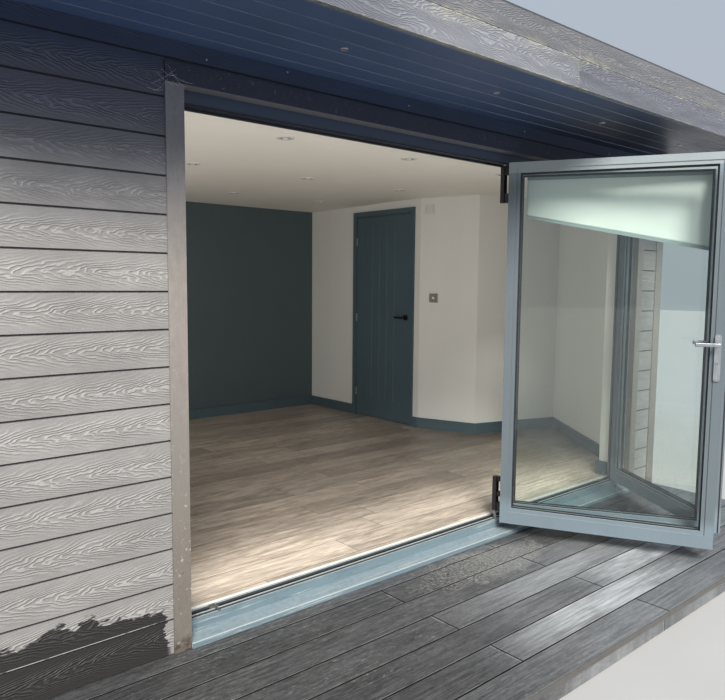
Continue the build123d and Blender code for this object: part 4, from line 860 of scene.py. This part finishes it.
for i in range(LIGHT_COLUMNS * LIGHT_ROWS):
    x = LIGHT_X + LIGHT_X_PITCH * (i % LIGHT_COLUMNS)
    y = LIGHT_Y + LIGHT_Y_PITCH * (i // LIGHT_COLUMNS)
    centre = at(x, y, CEIL - DROP * (y - ROOM_FRONT) / ROOM_DEEP) + down * 0.003
    lenses.append(lathe(LENS, centre, down))
    bulbs.append(lathe(BULB, centre, down))
    rims.append(lathe(RIM, centre, down))
gather("downlight_lenses", lenses, "lens")
gather("downlight_bulbs", bulbs, "bulb")
gather("downlight_bezels", rims, "lamp")

# Bezels of the small soffit lights
SOFFIT_X, SOFFIT_PITCH, SOFFIT_Y, SOFFIT_Z = 553.0, 882, -330.0, 2371.0
SMALL_RIM = [(0.0145, -0.0003), (0.0143, 0.001), (0.0115, 0.0018), (0.0105, 0.0007)]
small = []
for i in range(-1, 5):
    centre = at(SOFFIT_X + SOFFIT_PITCH * i, SOFFIT_Y, SOFFIT_Z)
    small.append(lathe(SMALL_RIM, centre, (0, 0, -1), 20))
gather("soffit_bezels", small, "bright_metal")

# Track: rubber strips along the sill's channels, and the keeper by the left jamb
CHANNEL_FLOOR = 168.2
strips = [box_parts([slab(at, 92, 3346, y, y + 4.5, CHANNEL_FLOOR, 174)]) for y in (104, 117)]
gather("track_strips", strips, "rubber")
keeper = [
    slab(at, 218, 246, 98.5, 131.5, CHANNEL_FLOOR, 181),
    slab(at, 212, 252, 106, 112, CHANNEL_FLOOR, 179),
    slab(at, 226, 238, 62, 98, 178.1, 182),
]
gather("track_keeper", [box_parts([c]) for c in keeper], "spacer")

# Plates on the store room's cut corner: louvres on one, a brushed face and a knob on the other
CORNER = Vector((3505.0, 2175.0))
EDGE = Vector((199.0, -520.0)).normalized()
OUT = Vector((EDGE.y, -EDGE.x))
VENT, VENT_Z, DIMMER, DIMMER_Z = 87, 2184, 140, 1387


def on_corner(a, n, z):
    point = CORNER + EDGE * a + OUT * n
    return at(point.x, point.y, z)


louvres = []
for i in range(7):
    z = VENT_Z - 27 + 9 * i
    louvres.append(box_parts([slab(on_corner, VENT - 31, VENT + 31, 8, 10.5, z - 1.6, z + 1.6)]))
louvres.append(ring(on_corner, VENT - 36, VENT + 36, VENT_Z - 36, VENT_Z + 36, 4, 8, 11))
gather("vent_louvres", louvres, "plate_white")
face = slab(on_corner, DIMMER - 40, DIMMER + 40, 8, 9.2, DIMMER_Z - 40, DIMMER_Z + 40)
gather("dimmer_face", [box_parts([face])], "steel")
out3 = (OUT.x, OUT.y, 0)
knob = [(0.0105, 0), (0.0105, 0.008), (0.0095, 0.0105), (0.006, 0.0115)]
gather("dimmer_knob", [lathe(knob, on_corner(DIMMER, 9.2, DIMMER_Z), out3)], "bulb")
SCREW = [(0.0032, 0), (0.0030, 0.0008), (0.0012, 0.0011)]
places = [on_corner(DIMMER + a, 9.2, DIMMER_Z) for a in (-30, 30)]
places += [on_corner(VENT + a, 8, VENT_Z) for a in (-39.5, 39.5)]
screws = [lathe(SCREW, centre, out3, 14) for centre in places]
gather("plate_screws", screws, "spacer")

# Lead handle: two screw caps and a key slot on each side
HANDLE_S, HANDLE_SCREWS, KEY_Z = 1057, (1057, 1268), 1135
HANDLE_SIDES = ((79, 1), (9, -1))
CAP = [(0.0045, -0.0005), (0.0042, 0.0008), (0.002, 0.0012)]
details, slots = [], []
for n, way in HANDLE_SIDES:
    out_n = (on_lead(0, n + way, 0) - on_lead(0, n, 0)) * 1000
    for z in HANDLE_SCREWS:
        details.append(lathe(CAP, on_lead(HANDLE_S, n + way * 8, z), out_n, 16))
    n0, n1 = sorted((n + way * 13.5, n + way * 14.3))
    slots.append(box_parts([slab(on_lead, HANDLE_S - 1.2, HANDLE_S + 1.2, n0, n1, KEY_Z - 5.5, KEY_Z + 3)]))
gather("handle_screws", details, "spacer")
gather("handle_key_slots", slots, "rubber")

# Fixing screws in the upper wall board and the head trim
HEAD_SCREWS = ((168, 2330), (528, 2356), (1210, 2338), (2090, 2346), (2960, 2334))
PAN_HEAD = [(0.0042, -0.0005), (0.004, 0.0007), (0.0018, 0.001)]
heads = [lathe(PAN_HEAD, at(x, 0, z), (0, -1, 0), 16) for x, z in HEAD_SCREWS]
gather("board_screws", heads, "spacer")

# Strands of old cobweb in the trim's top left corner, each from one end to the other
WEB = (((-52, -3, 2206), (38, -10, 2268)), ((-44, -3, 2180), (12, -9, 2236)),
       ((8, -9, 2282), (74, -9, 2214)), ((-30, -3, 2248), (30, -9, 2214)),
       ((16, -9, 2254), (110, -9, 2232)), ((70, -9, 2240), (64, 20, 2222)),
       ((-70, -3, 2192), (-8, -8, 2190)), ((24, -9, 2226), (90, -4, 2221)),
       ((-16, -8, 2262), (44, -9, 2252)))
STEPS, STRAND_R, END_R = 8, 0.28, 0.15
strands = []
for i, (a, b) in enumerate(WEB):
    verts, faces = [], []
    for j in range(STEPS + 1):
        t = j / STEPS
        x, y, z = (a[n] + (b[n] - a[n]) * t for n in range(3))
        z -= (6 + 3 * (i % 3)) * math.sin(math.pi * t)
        r = STRAND_R if 0 < j < STEPS else END_R
        verts += [at(x, y - r, z), at(x, y, z + r), at(x, y + r, z), at(x, y, z - r)]
    for j in range(STEPS):
        for c in range(4):
            d = (c + 1) % 4
            faces.append((4 * j + c, 4 * j + d, 4 * j + 4 + d, 4 * j + 4 + c))
    last = 4 * STEPS
    faces += [(0, 1, 2, 3), (last + 3, last + 2, last + 1, last)]
    strands.append((verts, faces))
gather("cobweb_strands", strands, "bulb")

# Blind cloth, hung from its head rail and pulled askew by the bottom rail
RAIL_LOW = LEAF_TOP - 9 - 65
B0, B1 = 84.0, GAP + LEAF - 29
DROP_NEAR, DROP_FAR = 190, 373
NEAR, FAR = (B0, RAIL_LOW - DROP_NEAR), (B1 - 32, RAIL_LOW - DROP_FAR)
CLOTH_N = 79.0 + 13.0
COLS, ROWS = 96, 34
verts, faces = [], []
for j in range(ROWS + 1):
    v = j / ROWS
    for i in range(COLS + 1):
        u = i / COLS
        top = (B0 + (B1 - 2 - B0) * u, RAIL_LOW + 0.5)
        low = (NEAR[0] + (FAR[0] - NEAR[0]) * u, NEAR[1] + (FAR[1] - NEAR[1]) * u)
        s = top[0] + (low[0] - top[0]) * v
        z = top[1] + (low[1] - top[1]) * v
        sway = 3.2 * math.sin(u * 5.2 + v * 2.1) * math.sin(math.pi * v)
        sway += 1.6 * math.sin(u * 17.0 - v * 5.0) * math.sin(math.pi * v) * (0.3 + u)
        curl = 4.0 * (max(0.0, u - 0.9) / 0.1) ** 2 * math.sin(math.pi * v)
        verts.append(on_middle(s, CLOTH_N + sway - curl, z))
for j in range(ROWS):
    for i in range(COLS):
        a = j * (COLS + 1) + i
        faces.append((a, a + 1, a + COLS + 2, a + COLS + 1))
blind = piece("blind_sheet", verts, faces, "blind_cloth", smooth=True)
thick = blind.modifiers.new("thickness", "SOLIDIFY")
thick.thickness = 0.0009
thick.offset = 0.0
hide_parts("blind_fabric")

# Camera
cam_data = bpy.data.cameras.new("camera")
cam = bpy.data.objects.new("camera", cam_data)
scene.collection.objects.link(cam)
SENSOR, FOCAL_PX, FRAME_PX = 36.0, 707.0, 725.0
cam_data.sensor_width = SENSOR
cam_data.lens = SENSOR * FOCAL_PX / FRAME_PX
yaw, pitch, roll = math.radians(49.19), math.radians(-5.42), math.radians(0.51)
fwd = Vector((math.cos(yaw) * math.cos(pitch), math.sin(yaw) * math.cos(pitch), math.sin(pitch)))
r0 = fwd.cross(Vector((0, 0, 1))).normalized()
u0 = r0.cross(fwd)
right = math.cos(roll) * r0 + math.sin(roll) * u0
up = -math.sin(roll) * r0 + math.cos(roll) * u0
pose = Matrix((right, up, -fwd)).transposed().to_4x4()
pose.translation = at(-1149.2, -2416.9, 1518.1)
cam.matrix_world = pose
scene.camera = cam

# Light: a broad soft sky, a large soft sun from the front left, and the pale studio floor
world = bpy.data.worlds.new("studio")
scene.world = world
world.use_nodes = True
sky = world.node_tree
coord = sky.nodes.new("ShaderNodeTexCoord")
parts = sky.nodes.new("ShaderNodeSeparateXYZ")
ramp = sky.nodes.new("ShaderNodeValToRGB")
sky.links.new(coord.outputs["Generated"], parts.inputs[0])
sky.links.new(parts.outputs[2], ramp.inputs[0])
sky.links.new(ramp.outputs[0], sky.nodes["Background"].inputs[0])
ramp.color_ramp.elements[0].color = (0.62, 0.66, 0.72, 1)
ramp.color_ramp.elements[1].color = (0.62, 0.78, 1.0, 1)
sky.nodes["Background"].inputs[1].default_value = 0.72
sun = bpy.data.lights.new("sun", "SUN")
sun.energy = 5.9
sun.angle = math.radians(24)
sun.color = (1.0, 0.96, 0.90)
sun_obj = bpy.data.objects.new("sun", sun)
scene.collection.objects.link(sun_obj)
toward = Vector((-0.42, -0.66, 0.62)).normalized()
sun_obj.rotation_euler = toward.to_track_quat("Z", "Y").to_euler()


def soft_panel(name, wide, stile_shade, power, colour, place, turn):
    """An upright area light that the camera and the gloss don't see, facing +Y, turned about Z."""
    light = bpy.data.lights.new(name, "AREA")
    light.shape = "RECTANGLE"
    light.size, light.size_y = wide, stile_shade
    light.energy = power
    light.color = colour
    obj = bpy.data.objects.new(name, light)
    scene.collection.objects.link(obj)
    obj.location = place
    obj.rotation_euler = (math.radians(90), 0, math.radians(turn))
    obj.visible_camera = False
    obj.visible_glossy = False


soft_panel("doorway_fill", 3.2, 1.95, 14.0, (1.0, 0.985, 0.95), at(1719, 262, 1180), 0)
soft_panel("room_fill", 3.0, 1.8, 26.0, (1.0, 0.975, 0.94), at(-560, 2000, 1200), -90)

# Studio floor
k = Paint("studio_floor")
speck = k.noise(k.p, 3.0, 3.0, 0.5)
k.done(k.tone((0.43, 0.425, 0.415), speck, 0.97, 1.03), 0.8, shine=0.1)
half = 40.0
corners = [(-half, -half, 0), (half, -half, 0), (half, half, 0), (-half, half, 0)]
floor = bpy.data.meshes.new("floor")
floor.from_pydata(corners, [], [(0, 1, 2, 3)])
floor.materials.append(k.mat)
floor_obj = bpy.data.objects.new("floor", floor)
scene.collection.objects.link(floor_obj)
scene.view_settings.view_transform = "Standard"
